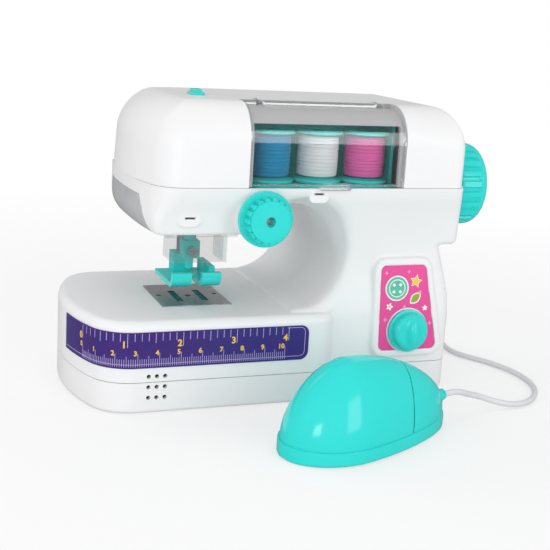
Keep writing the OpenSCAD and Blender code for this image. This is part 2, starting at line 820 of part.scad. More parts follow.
module shaft_bushes() {
    color([0.72, 0.58, 0.3]) for (x = [web_left, web_right])
        wheel_on_shaft(x, web_t, shaft_d + 2 * run, shaft_y, shaft_z) circle(d = bush_d);
}

module motor() {
    color(steel) {
        bar_x(motor_d, web_right - motor_l, web_right, shaft_y, motor_z);
        bar_x(9.6, web_right - 1, web_right + web_t, shaft_y, motor_z);
        bar_x(8, web_right - motor_l - 3, web_right - motor_l + 1, shaft_y, motor_z);
    }
}

module motor_pinion() {
    r = gear_module * pinion_teeth / 2;
    color([0.85, 0.85, 0.8]) translate([gear_x, shaft_y, motor_z]) rotate([0, 90, 0]) {
        rotate(180 / pinion_teeth) linear_extrude(gear_t)
            polygon(toothed(pinion_teeth, r - 1.2 * gear_module, r + 0.7 * gear_module, 0.34));
        translate([0, 0, web_right + web_t + fit - gear_x]) cylinder(d = 4, h = gear_x - web_right - web_t);
    }
}

// Loop of belt round two pulleys, with inner radius r
module belt_loop(r) {
    hull_h = shaft_z - lower_z;
    circle(r);
    translate([-r, 0]) square([2 * r, hull_h]);
    translate([0, hull_h]) circle(r);
}

module timing_belt() {
    color([0.15, 0.15, 0.16]) translate([pulley_x, shaft_y, lower_z]) along_x(pulley_w) difference() {
        belt_loop(pulley_d / 2 + fit + belt_t);
        belt_loop(pulley_d / 2 + fit);
    }
}

module lower_shaft() {
    color(steel) bar_x(lower_d, lower_left, pulley_x + pulley_w + 1, shaft_y, lower_z);
}

module lower_pulley() {
    color([0.9, 0.9, 0.85]) wheel_on_shaft(pulley_x - 1, pulley_w + 2, lower_d, shaft_y, lower_z) circle(d = pulley_d);
}

module looper() {
    color(steel) wheel_on_shaft(lower_left, 3, lower_d, shaft_y, lower_z) difference() {
        circle(9);
        translate([3, 3]) difference() {
            square(9);
            circle(3.4);
        }
    }
}

module needle_bar() {
    yoke_half = crank_r + 4;
    slot_half = crank_r + 2;
    color(teal) difference() {
        union() {
            translate([needle_x, needle_y, clamp_z + 2]) cylinder(d = bar_d, h = body_h - 10 - clamp_z);
            box([needle_x - takeup_w / 2, needle_y - takeup_d / 2, body_h - 16],
                [needle_x + takeup_w / 2, needle_y + takeup_d / 2, bar_high - 1.4]);
            box([needle_x - takeup_w / 2 + 1, needle_y - takeup_d / 2 + 1, bar_high - 2],
                [needle_x + takeup_w / 2 - 1, needle_y + takeup_d / 2 - 1, bar_high]);
            difference() {
                box([yoke_x, shaft_y - yoke_half, yoke_z - 5], [yoke_x + yoke_t, shaft_y + yoke_half, yoke_z + 5]);
                box([needle_x + bar_d / 2, shaft_y - slot_half, yoke_z - 1.8], [body_l, shaft_y + slot_half, yoke_z + 1.8]);
            }
            box([needle_x - 4, needle_y - 4, clamp_z], [needle_x + 4, needle_y + 3, clamp_z + clamp_h]);
            translate([needle_x, needle_y, holder_z]) cylinder(d = holder_d, h = 8);
        }
        translate([needle_x, needle_y, holder_z - 1]) cylinder(d = needle_d, h = screw_z - holder_z + 4);
        bar_y(2, needle_y - 9, needle_y, needle_x, screw_z);
    }
}

module needle() {
    color(steel) translate([needle_x, needle_y, needle_tip]) {
        translate([0, 0, 3]) cylinder(d = needle_d, h = screw_z + 3 - needle_tip - 3);
        cylinder(d1 = 0.3, d2 = needle_d, h = 3);
    }
}

module needle_screw() {
    color(steel) {
        bar_y(2, needle_y - 5, needle_y - needle_d / 2, needle_x, screw_z);
        bar_y(5, needle_y - 7.2, needle_y - 4, needle_x, screw_z);
    }
}

module presser_bar() {
    color(steel) {
        translate([needle_x, presser_y, foot_z + 6]) cylinder(d = presser_d, h = shelf_z + 12 - foot_z - 6);
        translate([needle_x, presser_y, collar_z]) cylinder(d = collar_d, h = 2.5);
    }
}

module presser_foot() {
    toe = needle_y - 12;
    color(teal) difference() {
        union() {
            box([needle_x - foot_w / 2, toe + 3, foot_z], [needle_x + foot_w / 2, presser_y + 4, foot_z + foot_t]);
            translate([0, toe + 3, foot_z + 6]) rotate([0, 90, 0]) translate([0, 0, needle_x - foot_w / 2])
                difference() {
                    cylinder(r = 6, h = foot_w);
                    translate([0, 0, -1]) cylinder(r = 6 - foot_t, h = foot_w + 2);
                    translate([-9, -9, -1]) cube([9 - 1.5, 20, foot_w + 2]);
                    translate([-9, 0, -1]) cube([20, 20, foot_w + 2]);
                }
            box([needle_x - 5, presser_y - 4, foot_z + 1], [needle_x + 5, presser_y + 4, foot_z + 12]);
            box([needle_x + foot_w / 2 - 3, needle_y - 4, foot_z + 1], [needle_x + foot_w / 2, presser_y + 2, foot_z + 8]);
        }
        box([needle_x - 2.4, toe - 9, foot_z - 1], [needle_x + 2.4, needle_y + 5, foot_z + 9]);
        translate([needle_x, presser_y, foot_z + 6]) cylinder(d = presser_d, h = 20);
    }
}

module presser_spring() {
    color(steel) translate([needle_x, presser_y, collar_z + 2.5]) difference() {
        cylinder(d = collar_d, h = shelf_z - collar_z - 2.5);
        translate([0, 0, -1]) cylinder(d = presser_d + 0.6, h = 40);
    }
}

module presser_lifter() {
    low = collar_z - 3;
    color(white) difference() {
        union() {
            translate([needle_x, presser_y, low]) cylinder(d = collar_d, h = 3);
            box([needle_x - 2, presser_y, low], [needle_x + 2, half_d + 9, low + 3]);
            box([needle_x - 6, half_d + 6, low], [needle_x + 6, half_d + 11, low + 3]);
        }
        translate([needle_x, presser_y, low - 1]) cylinder(d = presser_d, h = 6);
    }
}

module needle_guard() {
    front = needle_y - 24;
    back = needle_y - 7;
    half_w = 13;
    t = 1.4;
    low = head_z - 14;
    color(clear) translate([needle_x - 2, 0, 0]) {
        box([-half_w - 4, front - 3, head_z - t], [half_w + 4, back, head_z]);
        difference() {
            box([-half_w, front, low], [half_w, back, head_z - t + 0.5]);
            box([-half_w + t, front + t, low - 1], [half_w - t, back + 1, head_z - t - 1]);
        }
    }
}

module needle_plate() {
    slack = 0.3;
    color(steel) difference() {
        box([needle_x - plate_w / 2 + 0.1, plate_front + 0.1, bed_h - plate_t + 0.4],
            [needle_x + plate_w / 2 - 0.1, plate_back - 0.1, bed_h + 0.4]);
        translate([needle_x, needle_y, bed_h - 5]) cylinder(d = 3, h = 10);
        for (x = feed_xs)
            box([x - feed_w / 2 - slack, needle_y - feed_l / 2 - feed_throw - slack, bed_h - 5],
                [x + feed_w / 2 + slack, needle_y + feed_l / 2 + feed_throw + slack, bed_h + 5]);
        for (s = [-1, 1]) translate([needle_x + s * (plate_w / 2 - 3), (plate_front + plate_back) / 2, bed_h - 5])
            cylinder(d = 2.4, h = 10);
    }
}

module feed_dog() {
    teeth = 8;
    tooth = feed_l / teeth;
    top = bed_h + 0.3;
    color(steel) difference() {
        union() {
            for (x = feed_xs) translate([x - feed_w / 2, needle_y - feed_l / 2, 0]) along_x(feed_w)
                polygon(concat([[feed_l, top - 5], [0, top - 5]],
                    [for (i = [0 : teeth - 1]) each [[i * tooth, top - 0.7], [(i + 0.75) * tooth, top]]], [[feed_l, top - 0.7]]));
            box([feed_xs[0] - feed_w / 2, needle_y - feed_l / 2, top - 5], [feed_xs[1] + feed_w / 2, needle_y + feed_l / 2, top - 3.4]);
        }
        translate([needle_x, needle_y, bed_h - 10]) cylinder(d = 6.4, h = 20);
    }
}

module lamp_lens() {
    color(clear) intersection() {
        difference() {
            middle_form();
            middle_form(wall, 1);
        }
        lens_zone(0);
    }
}

module lamp_board() {
    board_x = lens_x + 0.4;
    low = head_z + wall;
    color([0.2, 0.5, 0.3]) box([board_x, -12, low], [board_x + board_t, 12, low + 14]);
    color([0.95, 0.95, 0.85]) bar_x(5, board_x - 6, board_x + 0.5, 0, low + 8);
}

module tension_dial() {
    knurls = 18;
    color(teal) difference() {
        union() {
            bar_y(dial_d, dial_seat - dial_flange_t, dial_seat, dial_x, dial_z);
            translate([dial_x, dial_seat - 1, dial_z]) rotate([90, 0, 0]) linear_extrude(dial_l - 2)
                polygon(toothed(knurls, dial_barrel_d / 2, dial_barrel_d / 2 + 1.2, 0.5));
            bar_y(dial_barrel_d, dial_seat - dial_l, dial_seat - 1, dial_x, dial_z);
        }
        bar_y(stud_d + 2 * run, dial_seat - dial_l - 1, dial_seat + 1, dial_x, dial_z);
        bar_y(dial_hole_d, dial_seat - dial_l - 1, dial_seat - dial_l + 3, dial_x, dial_z);
    }
}

module tension_stud() {
    color(steel) {
        bar_y(stud_d, dial_seat - dial_l + 4, -half_d + 16, dial_x, dial_z);
        bar_y(9, -half_d + 14, -half_d + 16, dial_x, dial_z);
    }
}

module selector_knob() {
    color(teal) on_panel() translate([knob_u, knob_v, panel_proud + 0.2]) {
        cylinder(d = knob_d, h = 6);
        cylinder(d = knob_ring_d, h = 1.4);
        intersection() {
            translate([-3.2, -knob_d / 2, 5]) cube([6.4, knob_d, 4]);
            cylinder(d = knob_d - 0.6, h = 20);
        }
        translate([0, 0, -panel_proud - 5]) cylinder(d = 6, h = panel_proud + 6);
    }
}

module rotary_switch() {
    color([0.2, 0.2, 0.22]) on_panel() difference() {
        translate([knob_u - 9, knob_v - 9, -10.6]) cube([18, 18, 8]);
        translate([knob_u, knob_v, -20]) cylinder(d = 6.1, h = 30);
    }
}

module panel_label() {
    color([0.93, 0.33, 0.63]) on_panel() translate([0, 0, panel_proud - 0.8]) difference() {
        linear_extrude(0.4) panel_outline(0);
        translate([knob_u, knob_v, -1]) cylinder(d = 8, h = 4);
    }
}

module ruler_label() {
    top = ruler_z + ruler_h;
    r = ruler_corner_r;
    color([0.22, 0.12, 0.45]) intersection() {
        difference() {
            translate([0, 0, ruler_z]) linear_extrude(ruler_h) bed_plan(-ruler_t);
            translate([0, 0, ruler_z - 1]) linear_extrude(ruler_h + 2) bed_plan(0);
        }
        union() {
            box([-body_l, -body_d, 0], [-half_l + 40, ruler_left_y, top]);
            intersection() {
                along_y() {
                    translate([-half_l + 39, ruler_z]) square([ruler_right - r + half_l - 39, ruler_h]);
                    translate([-half_l + 39, ruler_z + r]) square([ruler_right + half_l - 39, ruler_h - 2 * r]);
                    for (z = [ruler_z + r, top - r]) translate([ruler_right - r, z]) circle(r);
                }
                box([-body_l, -body_d, 0], [body_l, -half_d + 3, top]);
            }
        }
    }
}

module speaker() {
    front = -half_d + wall;
    color([0.25, 0.25, 0.27]) {
        bar_y(17, front, front + 3, speaker_x, hole_low_z + hole_pitch_z);
        bar_y(10, front + 2, front + 7, speaker_x, hole_low_z + hole_pitch_z);
    }
}

module battery_cells() {
    color([0.75, 0.6, 0.3]) for (i = [0 : 2]) {
        y = cell_y + i * cell_pitch;
        bar_x(cell_d, cell_xs, cell_xs + cell_l - 1.5, y, door_t + cell_d / 2 + 0.1);
        bar_x(5.5, cell_xs + cell_l - 2, cell_xs + cell_l, y, door_t + cell_d / 2 + 0.1);
    }
}

module battery_door() {
    color(white) difference() {
        box([cell_xs - 3.8, cell_y - 8.8, 0.1], [cell_xs - 4.2 + door_l, cell_y - 9.2 + door_w, door_t]);
        for (i = [0 : 5]) box([cell_xs + 6 + i * 3, cell_y + 4, -1], [cell_xs + 7.4 + i * 3, cell_y + 26, 0.6]);
    }
}

module control_board() {
    board_x = half_l - 56;
    low = floor_t + 3.6;
    color([0.2, 0.5, 0.3]) box([board_x, 0, low], [board_x + 36, 22, low + board_t]);
    color([0.15, 0.15, 0.16]) box([board_x + 12, 6, low + 1], [board_x + 22, 12, low + 3.4]);
    color([0.15, 0.15, 0.16]) translate([board_x + 30, 11, low + 1]) cylinder(d = 6, h = 9);
}

module screw(head_z0, length) {
    translate([0, 0, head_z0]) cylinder(d = screw_head_d, h = 2);
    translate([0, 0, head_z0 + 1]) cylinder(d = screw_d, h = length);
}

module base_screws() {
    color(steel) for (p = base_screw_places) translate([p[0], p[1], 0]) screw(1, base_h - 3);
}

module housing_screws() {
    color(steel) for (p = rear_screw_places) translate([p[0], half_d - 1, p[1]]) rotate([90, 0, 0]) screw(0, half_d - 2 - screw_tip);
}

module jack_socket() {
    color([0.15, 0.15, 0.16]) difference() {
        union() {
            box([jack_face - 17, jack_y - 5, jack_z - 5], [jack_face - 3.2, jack_y + 5, jack_z + 5]);
            bar_x(pin_d + 2.3, jack_face - 4, jack_face, jack_y, jack_z);
        }
        bar_x(pin_d + 2 * run, jack_face - 15, jack_face + 1, jack_y, jack_z);
    }
}

module jack_plug() {
    color([0.85, 0.85, 0.86]) {
        bar_x(pin_d, jack_face - 13, jack_face + 1, jack_y, jack_z);
        bar_x(plug_d, jack_face + 0.2, jack_face + plug_l, jack_y, jack_z);
        translate([jack_face + plug_l - 0.5, jack_y, jack_z]) rotate([0, 90, 0])
            cylinder(d1 = plug_d - 1.6, d2 = cord_d + 1, h = plug_end - jack_face - plug_l + 0.5);
    }
}

module pedal_cord() {
    color([0.9, 0.9, 0.92]) swept_tube(cord_points, cord_d, 8);
}

// Places children in the pedal's frame, with x along it from toe to cord and y across it
module at_pedal() {
    translate([pedal_x, -pedal_y, 0]) rotate(pedal_angle) children();
}

// Half width and height of the pedal at distance u from its middle
function superarc(s, n) = pow(max(1 - pow(min(max(s, 0), 1), n), 0), 1 / n);
function pedal_w(u) = pedal_half_w * (u < 0 ? superarc(-u / pedal_toe, pedal_plan_toe) : superarc(u / pedal_tail, pedal_plan_tail));
function pedal_top(u) = pedal_rim + (pedal_h - pedal_rim) * (u < pedal_peak ?
    superarc((pedal_peak - u) / (pedal_toe + pedal_peak), pedal_rise) :
    superarc((u - pedal_peak) / (pedal_tail - pedal_peak + pedal_tail_over), pedal_rise));
function pedal_station(i, n, g) = let (c = -cos(180 * i / n)) c < 0 ? c * (pedal_toe - g) : c * (pedal_tail - g);

// Dome of the pedal, set in by g, from height low upwards
module pedal_dome(g, low) {
    n = 26;
    m = 14;
    points = [for (i = [0 : n], j = [0 : m])
        let (u = pedal_station(i, n, g), a = 180 * j / m,
            w = max(pedal_w(u) - g, 0.3), h = max(pedal_top(u) - g - pedal_rim, 0.3))
        [u, w * sign(cos(a)) * pow(abs(cos(a)), 2 / pedal_arch), pedal_rim + h * pow(sin(a), 2 / pedal_arch)]];
    feet = [for (i = [0 : n], j = [0, m]) [points[i * (m + 1) + j][0], points[i * (m + 1) + j][1], low]];
    k = m + 1;
    base = len(points);
    skin = [for (i = [0 : n - 1], j = [0 : m - 1]) let (a = i * k + j) each [[a, a + k + 1, a + 1], [a, a + k, a + k + 1]]];
    sides = [for (i = [0 : n - 1]) let (a = base + 2 * i, b = i * k, c = b + k) each [
        [a, c, b], [a, a + 2, c], [a + 1, c + m, a + 3], [a + 1, b + m, c + m], [a, a + 3, a + 2], [a, a + 1, a + 3]]];
    last = base + 2 * n;
    caps = concat(
        [for (j = [0 : m - 1]) each [[base, j, j + 1], [last, n * k + j + 1, n * k + j]]],
        [[base, m, base + 1], [last, last + 1, n * k + m]]);
    polyhedron(concat(points, feet), concat(skin, sides, caps));
}

// Plan of the pedal, set in by g
module pedal_plan(g) {
    n = 32;
    upper = [for (i = [0 : n]) let (u = pedal_station(i, n, g)) [u, max(pedal_w(u) - g, 0.3)]];
    polygon(concat(upper, [for (i = [n : -1 : 0]) [upper[i][0], -upper[i][1]]]));
}

// Side of the treadle's round end, grown by c
module treadle_side(c) {
    translate([treadle_end - treadle_end_r, 0, -1]) cylinder(r = treadle_end_r + c, h = pedal_h + 9, $fn = 120);
}

module pedal_base() {
    post_top = pedal_axis_z + 3;
    color(teal) at_pedal() difference() {
        union() {
            difference() {
                linear_extrude(pedal_rim) pedal_plan(0);
                translate([0, 0, 2]) linear_extrude(pedal_rim) pedal_plan(lip_t + fit + 2);
                translate([0, 0, 3]) linear_extrude(pedal_rim) pedal_plan(lip_t);
            }
            for (s = [-1, 1]) box([pedal_axis_u - 3, s * 5 - 1.5, 1], [pedal_axis_u + 3, s * 5 + 1.5, post_top]);
            translate([spring_u, 0, 1]) cylinder(d = 5, h = 5);
        }
        translate([pedal_axis_u, 20, pedal_axis_z]) rotate([90, 0, 0]) cylinder(d = pedal_pin_d, h = 40);
    }
}

module pedal_cover() {
    skirt = lip_t + fit;
    ear_end = sqrt(pow(treadle_end_r - pedal_wall / 2, 2) - 70) + treadle_end - treadle_end_r;
    color(teal) at_pedal() difference() {
        union() {
            difference() {
                intersection() {
                    pedal_dome(skirt, pedal_rim - 0.5);
                    treadle_side(0);
                }
                intersection() {
                    pedal_dome(skirt + pedal_wall, pedal_rim - 2);
                    treadle_side(-pedal_wall);
                }
            }
            for (s = [-1, 1])
                box([pedal_axis_u - 3, s * 8.3 - 1.5, pedal_axis_z - 3], [ear_end, s * 8.3 + 1.5, pedal_axis_z + 3]);
            translate([spring_u, 0, 16]) cylinder(d = 6, h = pedal_h - 20, $fn = 24);
        }
        translate([pedal_axis_u, 20, pedal_axis_z]) rotate([90, 0, 0])
            cylinder(d = pedal_pin_d + 2 * run, h = 40, $fn = 32);
    }
}

module pedal_tail_cap() {
    skirt = lip_t + fit;
    color(teal) at_pedal() difference() {
        union() {
            difference() {
                pedal_dome(skirt, pedal_rim - 3.4);
                pedal_dome(skirt + pedal_wall, pedal_rim - 5);
            }
            translate([pedal_tail - 11, 0, pedal_boss_z]) rotate([0, 90, 0])
                cylinder(d = pedal_boss_d, h = 13, $fn = 32);
        }
        treadle_side(fit + 0.3);
        translate([pedal_tail - 20, 0, pedal_boss_z]) rotate([0, 90, 0]) cylinder(d = cord_d + 0.1, h = 40, $fn = 32);
    }
}

module pedal_pin() {
    color(steel) at_pedal() translate([pedal_axis_u, 9.6, pedal_axis_z]) rotate([90, 0, 0]) cylinder(d = pedal_pin_d, h = 19.2);
}

module pedal_spring() {
    color(steel) at_pedal() translate([spring_u, 0, 2]) difference() {
        cylinder(d = 8, h = 11.5);
        translate([0, 0, -1]) cylinder(d = 6, h = 20);
    }
}

base_pan();
front_housing();
rear_housing();
top_cover();
window_lid();
lid_pins();
spool_tray();
spool_1();
spool_2();
spool_3();
thread_pack_1();
thread_pack_2();
thread_pack_3();
thread_winding_1();
thread_winding_2();
thread_winding_3();
handwheel();
main_shaft();
crank();
drive_gear();
upper_pulley();
shaft_bushes();
motor();
motor_pinion();
timing_belt();
lower_shaft();
lower_pulley();
looper();
needle_bar();
needle();
needle_screw();
presser_bar();
presser_foot();
presser_spring();
presser_lifter();
needle_guard();
needle_plate();
feed_dog();
lamp_lens();
lamp_board();
tension_dial();
tension_stud();
selector_knob();
rotary_switch();
panel_label();
ruler_label();
speaker();
battery_cells();
battery_door();
control_board();
base_screws();
housing_screws();
jack_socket();
jack_plug();
pedal_cord();
pedal_base();
pedal_cover();
pedal_tail_cap();
pedal_pin();
pedal_spring();
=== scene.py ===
import math
from functools import reduce

import bmesh
import bpy
import numpy as np
from mathutils import Matrix, Vector


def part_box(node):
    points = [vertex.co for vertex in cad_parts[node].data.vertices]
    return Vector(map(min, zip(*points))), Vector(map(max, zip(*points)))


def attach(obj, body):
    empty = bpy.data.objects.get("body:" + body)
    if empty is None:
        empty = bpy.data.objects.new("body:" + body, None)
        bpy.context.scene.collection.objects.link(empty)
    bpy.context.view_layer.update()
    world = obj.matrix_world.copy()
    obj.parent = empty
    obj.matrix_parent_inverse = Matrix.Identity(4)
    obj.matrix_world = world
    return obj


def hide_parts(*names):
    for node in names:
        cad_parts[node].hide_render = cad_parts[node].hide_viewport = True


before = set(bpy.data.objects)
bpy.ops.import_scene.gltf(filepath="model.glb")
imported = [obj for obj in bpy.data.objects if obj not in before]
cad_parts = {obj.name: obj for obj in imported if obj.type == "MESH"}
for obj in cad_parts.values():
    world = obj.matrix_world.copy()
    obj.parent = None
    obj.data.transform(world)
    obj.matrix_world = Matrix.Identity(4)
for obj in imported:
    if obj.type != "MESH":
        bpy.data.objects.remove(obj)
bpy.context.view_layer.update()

bl_info = {
    "name": "Toy sewing machine",
    "version": (1, 0, 0),
    "blender": (4, 5, 0),
    "location": "3D View > Sidebar > Sewing machine",
    "description": "Dresses the packed toy sewing machine with smooth mouldings, prints, thread and finishes",
    "category": "Object",
}

MM = 0.001


# Settings a user would change

def colour(label, text, value):
    return bpy.props.FloatVectorProperty(name=label, description=text, subtype="COLOR", size=3, min=0, max=1,
                                         default=value)


def length(label, text, value):
    return bpy.props.FloatProperty(name=label, description=text, unit="LENGTH", min=0, default=value * MM)


def power(label, text, value):
    return bpy.props.FloatProperty(name=label, description=text, subtype="POWER", min=0, default=value)


def angle(label, text, degrees):
    return bpy.props.FloatProperty(name=label, description=text, subtype="ANGLE", default=math.radians(degrees))


class MouldingSizes(bpy.types.PropertyGroup):
    """Edge rounds and gaps of the moulded pieces"""
    bed_edge: length("Bed edge", "Round along the top edge of the sewing bed", 4)
    head_edge: length("Head edge", "Round along the lower edge of the head", 6)
    arm_edge: length("Arm edge", "Round along the lower edge of the arm and shoulder", 3)
    throat_edge: length("Throat edge", "Round along the edge of the throat", 2.5)
    foot_edge: length("Foot edge", "Round along the lower edge of the base", 1.6)
    seam_gap: length("Seam gap", "Gap that shows as a line between two mouldings", 0.3)
    mesh_step: length("Mesh step", "Spacing of the grid that the mouldings are drawn on", 1.15)


class Colours(bpy.types.PropertyGroup):
    """Colours of the plastics, prints and threads"""
    white: colour("White", "White housing plastic", (0.85, 0.85, 0.858))
    teal: colour("Teal", "Teal plastic of the trim and the pedal", (0.032, 0.70, 0.66))
    clear: colour("Clear", "Clear plastic of the lid and the guard", (0.97, 0.985, 0.99))
    purple: colour("Purple", "Ground of the ruler", (0.045, 0.018, 0.19))
    lilac: colour("Lilac", "Lines of the ruler", (0.55, 0.47, 0.78))
    yellow: colour("Yellow", "Numerals of the ruler and yellow prints", (0.95, 0.58, 0.03))
    pink: colour("Pink", "Ground of the panel", (0.83, 0.07, 0.32))
    blue_thread: colour("Blue thread", "Thread on the left spool", (0.006, 0.30, 0.55))
    white_thread: colour("White thread", "Thread on the middle spool", (0.93, 0.93, 0.95))
    pink_thread: colour("Pink thread", "Thread on the right spool", (0.90, 0.16, 0.47))
    cord: colour("Cord", "Sheath of the pedal cord", (0.72, 0.72, 0.74))
    backdrop: colour("Backdrop", "Floor and background", (1.0, 1.0, 1.0))


class StageSettings(bpy.types.PropertyGroup):
    """Camera and light"""
    lens: bpy.props.FloatProperty(name="Lens", description="Focal length in millimetres", default=70.9, min=10)
    place: bpy.props.FloatVectorProperty(name="Place", description="Place of the camera", subtype="TRANSLATION",
                                         unit="LENGTH", default=(-0.1828, -0.4993, 0.1785))
    yaw: angle("Yaw", "Turn of the view to the right", 21.12)
    pitch: angle("Pitch", "Tilt of the view downwards", 13.52)
    roll: angle("Roll", "Turn of the picture clockwise", 3.49)
    ambient: bpy.props.FloatProperty(name="Ambient", description="Strength of the light from all sides",
                                     default=0.7, min=0)
    key: power("Right softbox", "Power of the tall lamp at the front right", 2.0)
    fill: power("Left softbox", "Power of the lamp at the front left", 1.3)
    rear: power("Rear softbox", "Power of the lamp behind on the left", 2.0)
    top: power("Top softbox", "Power of the lamp overhead", 1.2)
    front: power("Front softbox", "Power of the wide lamp above the camera", 2.2)
    side: power("Side softbox", "Power of the lamp at the left end", 1.4)


# Shader maths

class Flow:
    """A socket whose arithmetic adds Math nodes"""

    def __init__(self, paint, socket):
        self.paint = paint
        self.socket = socket

    def maths(self, operation, *values):
        return self.paint.node("ShaderNodeMath", {"operation": operation}, dict(enumerate(values)))

    def __add__(self, other): return self.maths("ADD", self, other)
    def __radd__(self, other): return self.maths("ADD", other, self)
    def __sub__(self, other): return self.maths("SUBTRACT", self, other)
    def __rsub__(self, other): return self.maths("SUBTRACT", other, self)
    def __mul__(self, other): return self.maths("MULTIPLY", self, other)
    def __rmul__(self, other): return self.maths("MULTIPLY", other, self)
    def __truediv__(self, other): return self.maths("DIVIDE", self, other)
    def __rtruediv__(self, other): return self.maths("DIVIDE", other, self)
    def __abs__(self): return self.maths("ABSOLUTE", self)
    def clamp(self): return self.paint.node("ShaderNodeClamp", {}, {0: self})


class Paint:
    """A material, or the light of the world, under construction"""

    def __init__(self, name, kind="materials", skin="ShaderNodeBsdfPrincipled", out="ShaderNodeOutputMaterial"):
        self.made = getattr(bpy.data, kind).new(name)
        self.made.use_nodes = True
        self.tree = self.made.node_tree
        self.tree.nodes.clear()
        self.skin = self.tree.nodes.new(skin)
        self.out = self.tree.nodes.new(out)
        self.tree.links.new(self.skin.outputs[0], self.out.inputs[0])

    def put(self, socket, value):
        if isinstance(value, Flow):
            self.tree.links.new(value.socket, socket)
        elif socket.type == "RGBA" and len(value) == 3:
            socket.default_value = (*value, 1)
        else:
            socket.default_value = value

    def node(self, kind, settings, inputs, output=0):
        """Adds a node with its settings and the values or links of its sockets"""
        made = self.tree.nodes.new(kind)
        for key, value in settings.items():
            setattr(made, key, value)
        for key, value in inputs.items():
            self.put(made.inputs[key], value)
        return Flow(self, made.outputs[output])

    def place(self):
        return self.node("ShaderNodeTexCoord", {}, {}, "Object")

    def coordinates(self):
        place = self.place()
        return [self.node("ShaderNodeSeparateXYZ", {}, {0: place}, i) for i in range(3)]

    def ray(self, kind):
        """1 for rays of a kind, 0 for others"""
        return self.node("ShaderNodeLightPath", {}, {}, f"Is {kind} Ray")

    def noise(self, scale, detail=3.0, stretch=None):
        where = self.place()
        if stretch:
            where = self.node("ShaderNodeVectorMath", {"operation": "MULTIPLY"}, {0: where, 1: stretch})
        return self.node("ShaderNodeTexNoise", {}, {"Vector": where, "Scale": scale, "Detail": detail})

    def mix(self, share, first, second):
        return self.node("ShaderNodeMix", {"data_type": "RGBA"}, {0: share, 6: first, 7: second}, 2)

    def bump(self, height, strength, distance=0.0001):
        return self.node("ShaderNodeBump", {}, {"Strength": strength, "Distance": distance, "Height": height})

    def blend(self, share, other):
        """Lays another shader over the skin"""
        skin = Flow(self, self.skin.outputs[0])
        self.put(self.out.inputs[0], self.node("ShaderNodeMixShader", {}, {0: share, 1: skin, 2: other}))

    def finish(self, **values):
        for key, value in values.items():
            self.put(self.skin.inputs[key.replace("_", " ")], value)
        return self.made


def shade(tint, factor):
    return tuple(min(c * factor, 1) for c in tint)


# The first factor below is painted shade: how far the colour of the cover's ledge under the lid is darkened for the
# shade that falls there
LEDGE_PAINTED_SHADE, SHARP_MASK, SOFT_MASK = 0.6, 1e5, 4e3
RIM, RIM_ALPHA = 1.0, 0.3


def under_lid(paint):
    """Share of painted shade: 1 on the ledge that the lid covers, 0 elsewhere"""
    x, y, _ = paint.coordinates()
    inside = (LID_HALF + 0.2) * MM - abs(x - LID_X * MM)
    ahead = (LID_BACK + 0.45) * MM - y
    return (SHARP_MASK * inside).clamp() * (SHARP_MASK * ahead).clamp()


def lid_rim(paint):
    """1 at the lid's cut edges, 0 further in"""
    x, y, z = paint.coordinates()
    ends = abs(x - LID_X * MM) - (LID_HALF - RIM) * MM
    foot, back = (LID_Z + RIM) * MM - z, y - (LID_BACK - RIM) * MM
    return ((SOFT_MASK * ends).clamp() + (SOFT_MASK * foot).clamp() + (SOFT_MASK * back).clamp()).clamp()


def moulded_plastic(name, tint, rough, grain=0.015, shade_under_lid=False):
    """Glossy injection moulding: fine orange peel, slow gloss change and a faint colour drift, with painted shade on
    the ledge under the lid when asked
    """
    paint = Paint(name)
    drift = paint.noise(22, 2)
    peel = paint.noise(650, 2)
    smudge = paint.noise(90, 4, (1, 1, 2.5))
    tone = paint.mix(drift, shade(tint, 0.985), shade(tint, 1.012))
    if shade_under_lid:
        # Painted shade: the colour of the ledge under the lid is darkened where the lid and the cover shade it
        tone = paint.mix(under_lid(paint), tone, shade(tint, LEDGE_PAINTED_SHADE))
    gloss = rough - 0.05 + 0.07 * drift + 0.05 * smudge
    return paint.finish(Base_Color=tone, Roughness=gloss, Normal=paint.bump(peel, grain), IOR=1.5)


def frosted_plastic(name, dark, pale):
    """Cloudy lens moulding that lets a little light through"""
    paint = Paint(name)
    cloud = paint.noise(55, 3)
    return paint.finish(Base_Color=paint.mix(cloud, dark, pale), Roughness=0.14 + 0.1 * cloud, IOR=1.46,
                        Transmission_Weight=0.2)


def thin_clear_plastic(name, tint, mirror, rough, rimmed=False):
    """Clear sheet too thin to bend light: a weak mirror that lets the rest through"""
    paint = Paint(name)
    smear = paint.noise(120, 4, (1, 3, 1))
    return paint.finish(Base_Color=paint.mix(smear, shade(tint, 0.96), tint), Metallic=1.0,
                        Roughness=rough + 0.04 * smear,
                        Alpha=mirror + RIM_ALPHA * lid_rim(paint) if rimmed else mirror)


def metal(name, tint, rough):
    """Drawn and rolled metal with fine lines"""
    paint = Paint(name)
    lines = paint.noise(300, 3, (1, 1, 14))
    tone = paint.mix(lines, shade(tint, 0.86), shade(tint, 1.08))
    return paint.finish(Base_Color=tone, Roughness=rough - 0.06 + 0.14 * lines, Metallic=1.0,
                        Normal=paint.bump(lines, 0.06))


def wound_thread(name, tint):
    """Polyester thread with twisted plies and uneven layers"""
    paint = Paint(name)
    plies = paint.noise(1500, 2, (1, 1, 6))
    layers = paint.noise(140, 3, (0.2, 0.2, 4))
    tone = paint.mix(0.55 * plies + 0.45 * layers, shade(tint, 0.72), shade(tint, 1.22))
    return paint.finish(Base_Color=tone, Roughness=0.55 + 0.25 * plies, Sheen_Weight=0.12, Sheen_Roughness=0.4,
                        Specular_IOR_Level=0.2, Normal=paint.bump(plies, 0.35, 0.0002))


def printed_film(name, tint, rough=0.3):
    """Printed label film with a slight mottle in its ink"""
    paint = Paint(name)
    mottle = paint.noise(500, 4)
    cloud = paint.noise(60, 2)
    tone = paint.mix(0.5 * mottle + 0.5 * cloud, shade(tint, 0.9), shade(tint, 1.1))
    return paint.finish(Base_Color=tone, Roughness=rough - 0.05 + 0.12 * cloud, Normal=paint.bump(mottle, 0.04))


